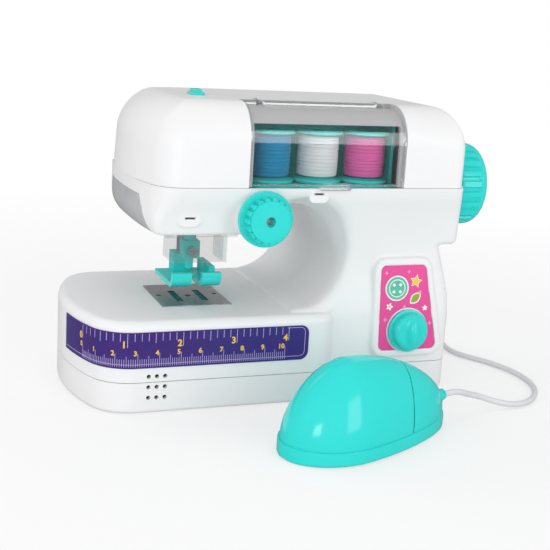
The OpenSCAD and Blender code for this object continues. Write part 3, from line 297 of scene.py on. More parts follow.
def plain_plastic(name, tint, rough):
    """Matt moulding of the inner works"""
    paint = Paint(name)
    grain = paint.noise(900, 3)
    cloud = paint.noise(70, 2)
    tone = paint.mix(cloud, shade(tint, 0.88), shade(tint, 1.1))
    return paint.finish(Base_Color=tone, Roughness=rough + 0.1 * grain, Normal=paint.bump(grain, 0.12))


# Each finish: its maker, its tint or the name of a colour setting, and what else the maker takes
RECIPES = {
    "white_plastic": (moulded_plastic, "white", 0.34),
    # The cover's white, with painted shade on the ledge under the lid
    "cover_plastic": (moulded_plastic, "white", 0.34, 0.015, True),
    "teal_plastic": (moulded_plastic, "teal", 0.13),
    "cord_sheath": (moulded_plastic, "cord", 0.38, 0.12),
    "clear_plastic": (thin_clear_plastic, "clear", 0.2, 0.04),
    "lid_plastic": (thin_clear_plastic, "clear", 0.06, 0.03, True),
    "lens_plastic": (frosted_plastic, (0.45, 0.46, 0.47), (0.8, 0.8, 0.81)),
    "steel": (metal, (0.62, 0.63, 0.65), 0.28),
    "pin_steel": (metal, (0.82, 0.82, 0.84), 0.55),
    "bronze": (metal, (0.55, 0.36, 0.12), 0.35),
    "nylon": (plain_plastic, (0.78, 0.76, 0.66), 0.45),
    "belt_rubber": (plain_plastic, (0.02, 0.02, 0.022), 0.7),
    "dark_plastic": (plain_plastic, (0.022, 0.022, 0.026), 0.4),
    "circuit_board": (plain_plastic, (0.03, 0.2, 0.07), 0.35),
    "cell_jacket": (plain_plastic, (0.5, 0.3, 0.06), 0.3),
    "blue_thread": (wound_thread, "blue_thread"),
    "white_thread": (wound_thread, "white_thread"),
    "pink_thread": (wound_thread, "pink_thread"),
    "pink_label": (printed_film, "pink", 0.28),
    "purple_label": (printed_film, "purple"),
    "lilac_ink": (printed_film, "lilac"),
    "yellow_ink": (printed_film, "yellow"),
    "white_ink": (printed_film, (0.86, 0.86, 0.84)),
    "mint_ink": (printed_film, (0.10, 0.52, 0.36)),
    "leaf_ink": (printed_film, (0.30, 0.42, 0.03)),
    "rose_ink": (printed_film, (0.86, 0.34, 0.56)),
}
FINISHES = {}


def finish(slot):
    """The material of one slot, made the first time it is asked for"""
    if slot not in FINISHES:
        maker, tint, *rest = RECIPES[slot]
        if isinstance(tint, str):
            tint = tuple(getattr(bpy.context.scene.machine_colours, tint))
        FINISHES[slot] = maker(f"{slot}_finish", tint, *rest)
    return FINISHES[slot]


# Fields: distance in millimetres, negative inside

def both(*forms):
    """What all the forms share"""
    return reduce(np.maximum, forms)


def either(*forms):
    """All the forms together"""
    return reduce(np.minimum, forms)


def cut(form, *tools):
    """A form with each tool taken away"""
    return both(form, *(-tool for tool in tools))


def within(v, low, high):
    """A slab from low to high"""
    return np.maximum(low - v, v - high)


def round_max(a, b, r):
    """What two forms share, with their common edge rounded to r"""
    return np.minimum(np.maximum(a, b), -r) + np.hypot(np.maximum(a + r, 0), np.maximum(b + r, 0))


def soft_min(a, b, k):
    """Two forms together, with the corner between them filled over a width k"""
    share = np.maximum(k - np.abs(a - b), 0) / k
    return np.minimum(a, b) - share * share * k / 4


def corner(a, b, r):
    """A square corner rounded to r"""
    a, b = a + r, b + r
    return np.hypot(np.maximum(a, 0), np.maximum(b, 0)) + np.minimum(np.maximum(a, b), 0) - r


def block(x, y, z, low, high):
    """A box between two corners"""
    return both(*(within(v, a, b) for v, a, b in zip((x, y, z), low, high)))


def rod(a, b, c, d, low, high):
    """A round bar of diameter d along c, about a = b = 0"""
    return np.maximum(np.hypot(a, b) - d / 2, within(c, low, high))


def ramp(v, low, high):
    """A smooth step from 0 at low to 1 at high"""
    t = np.clip((v - low) / (high - low), 0, 1)
    return t * t * (3 - 2 * t)


def bowed(x, y, reach, half_w, bow_r, corner_r):
    """Plan of an end towards -x, bowed to bow_r, with round corners"""
    bow_x = bow_r - reach
    run = math.sqrt((bow_r - corner_r) ** 2 - (half_w - corner_r) ** 2)
    side = np.abs(y)
    dx, dy = x - bow_x + run, side - half_w + corner_r
    nx, ny = -run / (bow_r - corner_r), (half_w - corner_r) / (bow_r - corner_r)
    in_corner = (dx < 0) & (nx * dy - ny * dx < 0)
    flat = np.maximum(np.hypot(x - bow_x, y) - bow_r, side - half_w)
    return np.where(in_corner, np.hypot(dx, dy) - corner_r, flat)


BASE_H, BED_H, SEAM_H, TOP_H, WALL = 14.5, 42.5, 102.5, 140.0, 2.2
HALF_DEPTH, BED_REACH, BED_BOW, BED_CORNER = 50, 98, 100, 20
HEAD_REACH, HEAD_BOW, HEAD_CORNER = 72, 140, 15
COLUMN_R, COLUMN_FRONT, COLUMN_CORNER, NOOK_X, NOOK_R = 100, -44, 4, 24, 8
HEAD_Z, ARM_Z, CHIN_Z, PAD_X = 79.0, 92.5, 73.0, 95.5
LEAN_Z, LEAN, LEAN_BLEND = 46, 7 / 24, 40
THROAT_X, THROAT_Z, THROAT_R, STEP_X = 3.5, 67.5, 25.0, -6
FLARE_X, FLARE_Y, FLARE_Z, FLARE_R, FLARE_SLOPE, FLARE_SCALE = 5.5, -54, 69.5, 31, 9 / 24, 0.936
COVE_Y, COVE_Z, COVE_R = -106.1, 66.0, 65.6
THICK_X, THICK_Z, THICK_WALL = 21.0, 45.5, 1.6
NEEDLE_X, NEEDLE_Y, PRESSER_Y = -38.0, -8.0, 6.0
BAR_HOLES = ((NEEDLE_Y, 6.6), (PRESSER_Y, 5.6))
PLATE_SEAT, PLATE_OPENING = ((-55, -26, 41.3), (-21, 14, 50)), ((-47, -21, 30), (-29, 9, 50))
LIFTER_SLOT = ((-40.4, 40, 82.4), (-35.6, 60, 93.6))
TAKE_UP_SLOT = ((NEEDLE_X - 3.2, -13.3, 125), (NEEDLE_X + 3.2, -2.7, 145))
BATTERY_BAY = ((-26, 1, -5), (32, 47.4, 1.9))
LENS_X, LENS_TOP, LENS_FOOT, LENS_HALF, LENS_SPLAY = -56, 96.5, 74, 28, 0.55
DIAL_X, DIAL_Z, DIAL_HOLE, DIAL_SEAT = -16.0, 89.0, 4.4, 22.6
WHEEL_Y, WHEEL_Z, SHAFT_HOLE = -8.0, 98.5, 9.4
JACK_Y, JACK_Z, JACK_X, JACK_HALF, JACK_HOLE, PLUG_HOLE = 28.0, 8.4, 92.4, 7, 6.2, 9
REAR_SCREWS = ((-60, 27), (44, 19), (72, 58), (-50, 90))
BASE_SCREWS = ((-84, -22), (-84, 22), (-30, 38), (46, 38), (84, -24), (40, -34))
SCREW_HOLE, POST_D, PAN_FLOOR = 5.6, 8, 2.4
GUIDE_SLOTS, SLOT_HALF, SLOT_RISE = ((10.3, 99.9), (-49.0, 88.3)), 2.4, 0.5
PAD_HALF, PAD_R, PAD_DROP, PAD_PROUD = 2.2, 2.6, 1.4, 0.9
SPEAKER_X, SPEAKER_STEP, SPEAKER_HOLE, SPEAKER_ROWS = -63.0, 3.8, 2, (7.2, 12.2, 17.2)
PANEL_AT, PANEL_TILT = (48, -44, 22), math.radians(90 - 4.8)
PANEL_CORNERS, PANEL_ROUND, PANEL_FLOOR = ((3, 3), (28, 3), (21.5, 39), (3, 39)), 3, 2.4
BEZEL_W, BEZEL_H, BEZEL_EDGE = 3.4, 3.2, 1.3
KNOB_U, KNOB_V, KNOB_HOLE = 15.2, 9.6, 8


def column_plan(x, y, r):
    """Plan of the column, bowed at its right end to r"""
    return round_max(np.hypot(x + 2, y - 3) - r, within(y, COLUMN_FRONT, HALF_DEPTH), COLUMN_CORNER)


def bed_plan(x, y):
    left = bowed(x, y, BED_REACH, HALF_DEPTH, BED_BOW, BED_CORNER)
    nook = corner(x - NOOK_X, -HALF_DEPTH - y, NOOK_R)
    right = soft_min(np.maximum(nook, y - HALF_DEPTH), column_plan(x, y, COLUMN_R), 2)
    return np.where(x < 0, left, right)


def head_plan(x, y, step):
    """Plan of the head and arm, set in by step"""
    left = bowed(x, y, HEAD_REACH - step, HALF_DEPTH - step, HEAD_BOW, HEAD_CORNER)
    right = bowed(-x, y, BED_REACH - step, HALF_DEPTH - step, COLUMN_R, COLUMN_CORNER)
    return np.where(x < 0, left, right)


def panel_axes(x, y, z):
    """Along the panel, up it and out of it"""
    c, s = math.cos(PANEL_TILT), math.sin(PANEL_TILT)
    dy, dz = y - PANEL_AT[1], z - PANEL_AT[2]
    return x - PANEL_AT[0], dy * c + dz * s, dz * c - dy * s


def panel_outline(u, v):
    """Rounded trapezoid of the panel"""
    far = np.full(np.shape(u), -1e9)
    near = np.full(np.shape(u), 1e9)
    for (ax, ay), (bx, by) in zip(PANEL_CORNERS, PANEL_CORNERS[1:] + PANEL_CORNERS[:1]):
        ex, ey = bx - ax, by - ay
        size = math.hypot(ex, ey)
        far = np.maximum(far, ((u - ax) * ey - (v - ay) * ex) / size)
        t = np.clip(((u - ax) * ex + (v - ay) * ey) / size ** 2, 0, 1)
        near = np.minimum(near, np.hypot(u - ax - t * ex, v - ay - t * ey))
    return np.where(far < 0, far, near) - PANEL_ROUND


def throat(x, y, z):
    """Space under the arm, flared towards the front"""
    below = x - THROAT_X
    low = np.maximum(below, z - HEAD_Z)
    high = np.maximum(below, round_max(STEP_X - x, z - ARM_Z, 6))
    bore = round_max(np.hypot(x - THROAT_X, z - THROAT_Z) - THROAT_R, STEP_X - x, 3)
    space = soft_min(np.minimum(high, bore), low, 5)
    flare = FLARE_SCALE * (np.hypot(x - FLARE_X, z - FLARE_Z) - FLARE_R + FLARE_SLOPE * (y - FLARE_Y))
    return soft_min(space, round_max(flare, STEP_X - x, 3), 1.5)


def middle_form(x, y, z, edges):
    """Outside of the bed, column, arm and head"""
    bed = round_max(bed_plan(x, y), z - BED_H, edges.bed_edge / MM)
    rise = z - LEAN_Z
    lean = COLUMN_R - LEAN * 0.5 * (rise + np.sqrt(rise * rise + LEAN_BLEND))
    column = both(column_plan(x, y, lean), -x, z - 81)
    head = np.maximum(corner(-HEAD_REACH - x, HEAD_Z - z, 12), x - PAD_X)
    shoulder = np.maximum(corner(x - PAD_X, CHIN_Z - z, 5), THROAT_X - x)
    lower_edge = edges.arm_edge / MM + (edges.head_edge - edges.arm_edge) / MM * (1 - ramp(x, -14, 4))
    upper = round_max(head_plan(x, y, 0), np.minimum(head, shoulder), lower_edge)
    body = soft_min(upper, column, 2.5)
    body = round_max(body, -throat(x, y, z), edges.throat_edge / MM)
    body = round_max(body, COVE_R - np.hypot(y - COVE_Y, z - COVE_Z), 2.5)
    fill = 5 * ramp(z, 41.5, 43.5) * ramp(-x, -27, -23) * ramp(-y, -45, -41) + 1e-6
    return soft_min(bed, body, fill)


def cove_front(z):
    """Front of the housing at a height in the cove"""
    return COVE_Y + math.sqrt(COVE_R ** 2 - (z - COVE_Z) ** 2)


def lens_zone(x, y, z, gap):
    """Space of the lamp lens, grown by gap"""
    side = np.abs(y) - LENS_HALF - gap - (LENS_TOP - z) * LENS_SPLAY
    return both(x - LENS_X - gap, z - LENS_TOP - gap, side, LENS_FOOT - z)


def speaker_holes(x, y, z, rows):
    return [rod(x - SPEAKER_X - SPEAKER_STEP * i, z - row, y, SPEAKER_HOLE, -60, -46)
            for row in rows for i in (-1, 0, 1)]


def housing_details(x, y, z, skin):
    """The skin with the bezel, the dial seat and the guide bumps added"""
    u, v, w = panel_axes(x, y, z)
    outline = panel_outline(u, v)
    bezel = np.maximum(round_max(outline - BEZEL_W, w - BEZEL_H, BEZEL_EDGE), -6 - w)
    skin = soft_min(skin, bezel, 1.6)
    skin = round_max(skin, -np.maximum(outline - 0.1, PANEL_FLOOR - w), 0.3)
    skin = soft_min(skin, rod(x - DIAL_X, z - DIAL_Z, y, DIAL_SEAT, -50, -42), 2)
    for slot_x, slot_z in GUIDE_SLOTS:
        front = cove_front(slot_z - PAD_R)
        round_pad = np.hypot(np.maximum(np.abs(x - slot_x) - PAD_HALF, 0), z - slot_z + PAD_DROP) - PAD_R
        skin = soft_min(skin, np.maximum(round_pad, within(y, front - PAD_PROUD, front + 3)), 1.2)
    return skin


def housing(front):
    """Field of the front or the rear half of the housing"""
    edges = bpy.context.scene.machine_mouldings
    gap = edges.seam_gap / MM / 2

    def field(x, y, z):
        skin = middle_form(x, y, z, edges)
        inner = skin + WALL + THICK_WALL * (1 - ramp(np.hypot(x - THICK_X, z - THICK_Z), 2, 8))
        if front:
            skin = housing_details(x, y, z, skin)
        shell = both(skin, -inner, BASE_H + gap - z, z - SEAM_H, y + gap / 2 if front else gap / 2 - y)
        tools = [lens_zone(x, y, z, 0.15), block(x, y, z, *PLATE_SEAT), block(x, y, z, *PLATE_OPENING)]
        tools += [rod(x - NEEDLE_X, y - bar_y, z, bar_d, 74, 92) for bar_y, bar_d in BAR_HOLES]
        if front:
            u, v, w = panel_axes(x, y, z)
            tools += [rod(y - WHEEL_Y, z - WHEEL_Z, x, SHAFT_HOLE, 78, 110),
                      rod(u - KNOB_U, v - KNOB_V, w, KNOB_HOLE, -20, 20),
                      rod(x - DIAL_X, z - DIAL_Z, y, DIAL_HOLE, -60, -20)]
            tools += speaker_holes(x, y, z, SPEAKER_ROWS[2:])
            for slot_x, slot_z in GUIDE_SLOTS:
                tools.append(block(x, y, z, (slot_x - SLOT_HALF, -53, slot_z - SLOT_RISE),
                                   (slot_x + SLOT_HALF, cove_front(slot_z) + 4, slot_z + SLOT_RISE)))
        else:
            tools.append(block(x, y, z, *LIFTER_SLOT))
            tools += [rod(x - screw_x, z - screw_z, y, SCREW_HOLE, 47, 60) for screw_x, screw_z in REAR_SCREWS]
        return cut(shell, *tools)
    return field


def base_field(x, y, z):
    edges = bpy.context.scene.machine_mouldings
    plan = bed_plan(x, y)
    shell = np.maximum(round_max(plan, -z, edges.foot_edge / MM), z - BASE_H + edges.seam_gap / MM / 2)
    shell = cut(shell, np.maximum(plan + WALL, PAN_FLOOR - z), block(x, y, z, *BATTERY_BAY),
                *speaker_holes(x, y, z, SPEAKER_ROWS[:2]))
    jack_block = both(plan + 0.5, 84 - x, np.abs(y - JACK_Y) - JACK_HALF, within(z, 1, 14))
    shell = cut(np.minimum(shell, jack_block), rod(y - JACK_Y, z - JACK_Z, x, PLUG_HOLE, JACK_X, 120),
                rod(y - JACK_Y, z - JACK_Z, x, JACK_HOLE, 70, 120))
    for screw_x, screw_y in BASE_SCREWS:
        post = np.maximum(rod(x - screw_x, y - screw_y, z, POST_D, 1, 13), plan + 0.4)
        shell = cut(np.minimum(shell, post), rod(x - screw_x, y - screw_y, z, SCREW_HOLE, -5, 3.2))
    return shell


LID_X, LID_HALF, LID_Z, LID_BACK, LID_T, LID_GAP, LEDGE = 14.75, 38.25, 103.3, -28.0, 2.0, 0.3, 2
TAB_X, TAB_HALF, TAB_Y, TAB_Z = 17.0, 8, -51.5, 103.7
HINGES, PIVOT_Y, PIVOT_Z, ARM_BACK = (TAB_X - 30.5, TAB_X + 30.5), -20, 138.4, -29
COVER_STEP, LEFT_TAPER, RIGHT_TAPER, COVER_ROUND, END_ROUND = 1, 0.06, 0.12, 17, 3


def cover_form(x, y, z):
    """Outside of the top cover and the lid, tapered above the seam"""
    rise = np.maximum(z - SEAM_H, 0)
    plan = round_max(head_plan(x, y, COVER_STEP) + LEFT_TAPER * rise * ramp(-x, 20, 60),
                     x - PAD_X + COVER_STEP + RIGHT_TAPER * rise, 2)
    r = COVER_ROUND + END_ROUND * np.maximum(ramp(-x, 35, 62), ramp(x, 55, 85))
    return corner(plan, z - TOP_H, r)


def cover_field(x, y, z):
    skin = cover_form(x, y, z)
    across = np.abs(x - LID_X)
    roof = np.where(across < LID_HALF + 3, LID_T + LID_GAP + WALL, WALL)
    shell = both(skin, -skin - roof, SEAM_H + 0.1 - z)
    lid_zone = both(across - LID_HALF - LID_GAP, y - LID_BACK - LID_GAP, LID_Z - LID_GAP - z)
    opening, slot = LID_HALF - LEDGE, LID_HALF + LID_GAP
    tools = [np.maximum(lid_zone, -skin - LID_T - LID_GAP), block(x, y, z, *TAKE_UP_SLOT),
             block(x, y, z, (LID_X - opening, -90, 95), (LID_X + opening, LID_BACK, 131)),
             block(x, y, z, (LID_X - slot, -90, 95), (LID_X + slot, -46.7, LID_Z))]
    tools += [block(x, y, z, (hinge - 1.8, ARM_BACK, 136.4), (hinge + 1.8, -17.9, 145)) for hinge in HINGES]
    return cut(shell, *tools)


def lid_field(x, y, z):
    skin = cover_form(x, y, z)
    panel = np.maximum(corner(np.abs(x - LID_X) - LID_HALF, LID_Z - z, 4), y - LID_BACK)
    shell = np.maximum(round_max(skin, panel, 0.5), -skin - LID_T)
    tab = corner(np.abs(x - TAB_X) - TAB_HALF, np.abs(z - TAB_Z) - 2, 1.2)
    tab = corner(tab, np.abs(y - TAB_Y) - 1.1, 0.7)
    neck = block(x, y, z, (TAB_X - TAB_HALF, -51, LID_Z), (TAB_X + TAB_HALF, -48, LID_Z + 2.4))
    shell = either(shell, tab, neck)
    pivot = np.hypot(y - PIVOT_Y, z - PIVOT_Z)
    for hinge in HINGES:
        along = np.abs(x - hinge) - 1.5
        arm = both(along, np.abs(z - PIVOT_Z) - 1.2, within(y, ARM_BACK, PIVOT_Y))
        shell = either(shell, arm, np.maximum(along, pivot - 1.6))
    return np.maximum(shell, 1.05 - pivot)


def lens_field(x, y, z):
    skin = middle_form(x, y, z, bpy.context.scene.machine_mouldings)
    return both(skin + 0.1, -skin - WALL, lens_zone(x, y, z, -0.05))


PEDAL_AT, PEDAL_TURN = (1.6, -105.3), math.radians(16)
PEDAL_TOE, PEDAL_TAIL, PEDAL_HALF, PEDAL_TOP, PEDAL_RIM = 27.5, 63.0, 21.0, 41.0, 6.5
PEDAL_PEAK, PEDAL_ARCH, PEDAL_SKIRT, PEDAL_WALL, TRAY_WALL = 3.4, 1.92, 0.9, 1.8, 2.9
TOE_PLAN, TAIL_PLAN, TOE_RISE, TAIL_RISE, TAIL_END = 1.92, 1.64, 1.65, 1.8, 1.7
JOINT_U, JOINT_R, TREADLE_GAP, TAIL_GAP = 33, 46, 0.15, 0.45
COLLAR_Z, COLLAR_R, COLLAR_RUN, COLLAR_PROUD, CORD_HOLE_R = 13.6, 2.5, 14, 0.4, 1.45


def superarc(s, n):
    """Quarter of a superellipse, from 1 at s = 0 to 0 at s = 1"""
    return np.maximum(1 - np.clip(s, 0, 1) ** n, 0) ** (1 / n)


def pedal_half(u, inset=0.0):
    """Half width of the pedal along its length"""
    toe, tail = superarc(-u / (PEDAL_TOE - inset), TOE_PLAN), superarc(u / (PEDAL_TAIL - inset), TAIL_PLAN)
    return (PEDAL_HALF - inset) * np.where(u < 0, toe, tail)


def pedal_rise(u, inset):
    """Height of the pedal above its rim along its length"""
    toe = superarc((PEDAL_PEAK - u) / (PEDAL_TOE + PEDAL_PEAK - inset), TOE_RISE)
    tail = superarc((u - PEDAL_PEAK) / (PEDAL_TAIL - PEDAL_PEAK + TAIL_END - inset), TAIL_RISE)
    return (PEDAL_TOP - PEDAL_RIM - inset) * np.where(u < PEDAL_PEAK, toe, tail)


def dome(u, v, z, inset):
    """Mouse-shaped dome of the pedal with upright sides below its rim, set in"""
    w = np.maximum(pedal_half(u, inset), 0.05)
    h = np.maximum(pedal_rise(u, inset), 0.05)
    across = (np.abs(v) / w) ** PEDAL_ARCH + (np.maximum(z - PEDAL_RIM, 0) / h) ** PEDAL_ARCH
    shape = (across ** (1 / PEDAL_ARCH) - 1) * np.minimum(w, h)
    return np.maximum(shape, within(u, inset - PEDAL_TOE, PEDAL_TAIL - inset))


def treadle_side(u, v, grow):
    """The treadle's side of its curved joint with the tail"""
    return np.hypot(u - JOINT_U + JOINT_R, v) - JOINT_R - grow


def treadle_field(u, v, z):
    skin = round_max(dome(u, v, z, PEDAL_SKIRT), treadle_side(u, v, TREADLE_GAP), 0.4)
    hollow = np.maximum(dome(u, v, z, PEDAL_SKIRT + PEDAL_WALL), treadle_side(u, v, -PEDAL_WALL))
    return both(skin, -hollow, PEDAL_RIM - 0.5 - z)


def tail_field(u, v, z):
    off_cord = np.hypot(v, z - COLLAR_Z)
    collar = round_max(off_cord - COLLAR_R, within(u, PEDAL_TAIL - COLLAR_RUN, PEDAL_TAIL + COLLAR_PROUD), 0.8)
    skin = soft_min(dome(u, v, z, PEDAL_SKIRT), collar, 1.5)
    shell = cut(skin, np.maximum(dome(u, v, z, PEDAL_SKIRT + PEDAL_WALL), u - 46))
    shell = round_max(shell, TAIL_GAP - treadle_side(u, v, 0), 0.4)
    return both(shell, CORD_HOLE_R - off_cord, PEDAL_RIM - 3.4 - z)


def pedal_base_field(u, v, z):
    half = np.maximum(pedal_half(u), 0.3)
    plan = np.maximum((np.abs(v) / half - 1) * np.minimum(half, 12), within(u, -PEDAL_TOE, PEDAL_TAIL))
    tray = round_max(round_max(plan, -z, 1.2), z - PEDAL_RIM, 0.4)
    inner = np.maximum(pedal_half(u) - TRAY_WALL, 0.1)
    hollow = both((np.abs(v) / inner - 1) * np.minimum(inner, 12), 2 - z,
                  within(u, TRAY_WALL - PEDAL_TOE, PEDAL_TAIL - TRAY_WALL))
    return cut(tray, hollow)


WHEEL_X, WHEEL_R, RIM_W, WHEEL_DOME, DOME_R, FLUTES, FLUTE_DEEP = 97.0, 21.0, 14.5, 6.0, 19.6, 24, 1.35
HOLLOW_R, HOLLOW_X, SLEEVE_R, HUB_R, HUB_X, SHAFT_R = 18, 108, 5.5, 4, 89.5, 2.5
SKIRT_R, CAP_R, CAP_LOW, CAP_TOP, STEM_R, RIDGE = 10.5, 8.7, 3.4, 9.4, 3, (3.3, 8.2, 4.0)


def wheel_field(x, y, z):
    dy, dz = y - WHEEL_Y, z - WHEEL_Z
    r = np.hypot(dy, dz)
    turn = np.cos(FLUTES * np.arctan2(dz, dy))
    flute = FLUTE_DEEP * ramp(turn, -0.15, 0.55) * (1 - ramp(x, 106.8, 108.8))
    sphere_r = (DOME_R ** 2 + WHEEL_DOME ** 2) / (2 * WHEEL_DOME)
    cap = np.hypot(r, x - WHEEL_X - RIM_W - WHEEL_DOME + sphere_r) - sphere_r
    body = round_max(round_max(r - WHEEL_R + flute, cap, 2.2), WHEEL_X - x, 0.8)
    body = cut(body, both(r - HOLLOW_R, SLEEVE_R - r, x - HOLLOW_X))
    hub = np.maximum(r - HUB_R, within(x, HUB_X, HOLLOW_X))
    return cut(np.minimum(body, hub), np.maximum(r, x - 107) - SHAFT_R)


def knob_field(u, v, w):
    """Selector knob with a grip ridge, about its own axis"""
    r = np.hypot(u, v)
    skirt = round_max(r - SKIRT_R, np.abs(w - 4.1) - 0.7, 0.3)
    cap = round_max(r - CAP_R, within(w, CAP_LOW, CAP_TOP), 1.8)
    ridge = (np.sqrt((u / RIDGE[0]) ** 2 + (v / RIDGE[1]) ** 2 + ((w - 8.4) / RIDGE[2]) ** 2) - 1) * 3
    grip = soft_min(cap, np.maximum(ridge, 8 - w), 1.6)
    return either(skirt, grip, np.maximum(r - STEM_R, within(w, -4.5, 4)))


# Meshes

def axis(low, high, step, *fine):
    """Grid lines from low to high, closer together in the fine stretches"""
    marks = [low]
    while marks[-1] < high:
        here = step
        for a, b, s in fine:
            if a - step <= marks[-1] < b:
                here = min(here, s)
        marks.append(marks[-1] + here)
    return np.array(marks)


PROBE, ROOT_STEPS, STIFFNESS, SETTLES, SETTLE_REACH = 0.01, 8, 0.04, 2, 0.3


def slopes(field, points):
    """Gradient of a field at points"""
    ends = [field(*(points + d).T) - field(*(points - d).T) for d in np.eye(3) * PROBE]
    return np.stack(ends, 1) / (2 * PROBE)


def contour(field, axes):
    """Points and faces of the surface where a field is zero, with its sharp edges kept"""
    grid = field(*np.meshgrid(*axes, indexing="ij"))
    inside = grid < 0
    cells = np.array(grid.shape) - 1
    spots, owners, turned = [], [], []
    for a in range(3):
        b, c = (a + 1) % 3, (a + 2) % 3
        low, high = [slice(None)] * 3, [slice(None)] * 3
        low[a], high[a] = slice(0, -1), slice(1, None)
        at = np.argwhere(inside[tuple(low)] != inside[tuple(high)])
        at = at[(at[:, b] > 0) & (at[:, c] > 0) & (at[:, b] < cells[b]) & (at[:, c] < cells[c])]
        start = np.stack([axes[k][at[:, k]] for k in range(3)], 1)
        reach = axes[a][at[:, a] + 1] - start[:, a]
        beyond = at.copy()
        beyond[:, a] += 1
        f0, f1 = grid[tuple(at.T)], grid[tuple(beyond.T)]
        t0, t1 = np.zeros(len(at)), np.ones(len(at))
        turned.append(f0 >= 0)

        def point(t):
            p = start.copy()
            p[:, a] += reach * t
            return p
        for step in range(ROOT_STEPS):
            share = np.clip(f0 / (f0 - f1), 0.03, 0.97) if step % 2 else 0.5
            t = t0 + (t1 - t0) * share
            f = field(*point(t).T)
            same = (f < 0) == (f0 < 0)
            t0, f0 = np.where(same, t, t0), np.where(same, f, f0)
            t1, f1 = np.where(same, t1, t), np.where(same, f1, f)
        spots.append(point(t0 + (t1 - t0) * f0 / (f0 - f1)))
        ring = np.repeat(at[:, None, :], 4, 1)
        ring[:, :, b] += np.array([-1, 0, 0, -1])
        ring[:, :, c] += np.array([-1, -1, 0, 0])
        owners.append(np.ravel_multi_index(tuple(np.moveaxis(ring, 2, 0)), tuple(cells)))
    spots, owners, turned = (np.concatenate(rows) for rows in (spots, owners, turned))
    normals = slopes(field, spots)
    normals /= np.maximum(np.linalg.norm(normals, axis=1, keepdims=True), 1e-12)
    used, faces = np.unique(owners, return_inverse=True)
    flat = faces.reshape(-1)
    source = np.repeat(np.arange(len(spots)), 4)
    count = np.bincount(flat).astype(float)

    def total(values):
        return np.bincount(flat, values[source], len(used))
    middle = np.stack([total(spots[:, k]) / count for k in range(3)], 1)
    square = np.stack([[total(normals[:, i] * normals[:, j]) for j in range(3)] for i in range(3)])
    square = square.transpose(2, 0, 1)
    depth = np.einsum("ij,ij->i", normals, spots)
    pull = np.stack([total(normals[:, k] * depth) for k in range(3)], 1)
    pull -= np.einsum("nij,nj->ni", square, middle)
    stiff = square + STIFFNESS * np.eye(3) * count[:, None, None]
    points = middle + np.linalg.solve(stiff, pull[:, :, None])[:, :, 0]
    index = np.array(np.unravel_index(used, tuple(cells))).T
    for k in range(3):
        points[:, k] = np.clip(points[:, k], axes[k][index[:, k]], axes[k][index[:, k] + 1])
    for _ in range(SETTLES):
        slope = slopes(field, points)
        depth = field(*points.T) / np.maximum((slope ** 2).sum(1), 0.25)
        points -= np.clip(depth, -SETTLE_REACH, SETTLE_REACH)[:, None] * slope
    faces = faces.reshape(-1, 4)
    faces[turned] = faces[turned][:, ::-1]
    return points, faces


def new_object(name, data, material=None):
    """A linked object, with its material if it has one"""
    made = bpy.data.objects.new(name, data)
    bpy.context.scene.collection.objects.link(made)
    if material:
        data.materials.append(material)
    return made


def hand_over(made, body, slot, *nodes):
    """Gives a piece its body and hides the CAD nodes that it stands for; the slot is not used"""
    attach(made, body)
    if nodes:
        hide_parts(*nodes)


def mesh_object(name, points, faces, material, sharp=35):
    """A smooth-shaded object from points in millimetres and four-sided faces"""
    points, faces = np.asarray(points, float), np.asarray(faces)
    mesh = bpy.data.meshes.new(name)
    mesh.vertices.add(len(points))
    mesh.vertices.foreach_set("co", (points * MM).astype(np.float32).ravel())
    mesh.loops.add(faces.size)
    mesh.loops.foreach_set("vertex_index", faces.astype(np.int32).ravel())
    mesh.polygons.add(len(faces))
    mesh.polygons.foreach_set("loop_start", np.arange(0, faces.size, faces.shape[1], dtype=np.int32))
    mesh.update(calc_edges=True)
    mesh.validate()
    mesh.shade_smooth()
    mesh.set_sharp_from_angle(angle=math.radians(sharp))
    return new_object(name, mesh, material)


def moulding(name, field, axes, slot, body, node, tint=None, turn=None):
    """A moulded piece drawn from a field, standing for its CAD node"""
    points, faces = contour(field, axes)
    if turn:
        points = turn(points)
    hand_over(mesh_object(name, points, faces, finish(tint or slot)), body, slot, node)


def pedal_turn(points):
    """Points from the pedal's own axes to the machine's"""
    c, s = math.cos(PEDAL_TURN), math.sin(PEDAL_TURN)
    u, v, z = np.transpose(points)
    return np.stack([PEDAL_AT[0] + u * c - v * s, PEDAL_AT[1] + u * s + v * c, z], 1)


def panel_place(u, v, w):
    """A point given in the panel's own axes"""
    c, s = math.cos(PANEL_TILT), math.sin(PANEL_TILT)
    return Vector((PANEL_AT[0] + u, PANEL_AT[1] + v * c - w * s, PANEL_AT[2] + v * s + w * c)) * MM


def panel_turn(points):
    """Points from the knob's own axes to the machine's"""
    return np.array([panel_place(KNOB_U + u, KNOB_V + v, w) / MM for u, v, w in points])


def dress(node, slot, width=0.0, segments=2):
    """Gives a CAD node its finish, and rounds its edges by width in millimetres"""
    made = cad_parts[node]
    made.data.materials.clear()
    made.data.materials.append(finish(slot))
    if width:
        bevel = made.modifiers.new("edges", "BEVEL")
        bevel.width = width * MM
        bevel.segments = segments
        bevel.limit_method = "ANGLE"
        bevel.angle_limit = math.radians(32)
        bevel.harden_normals = True


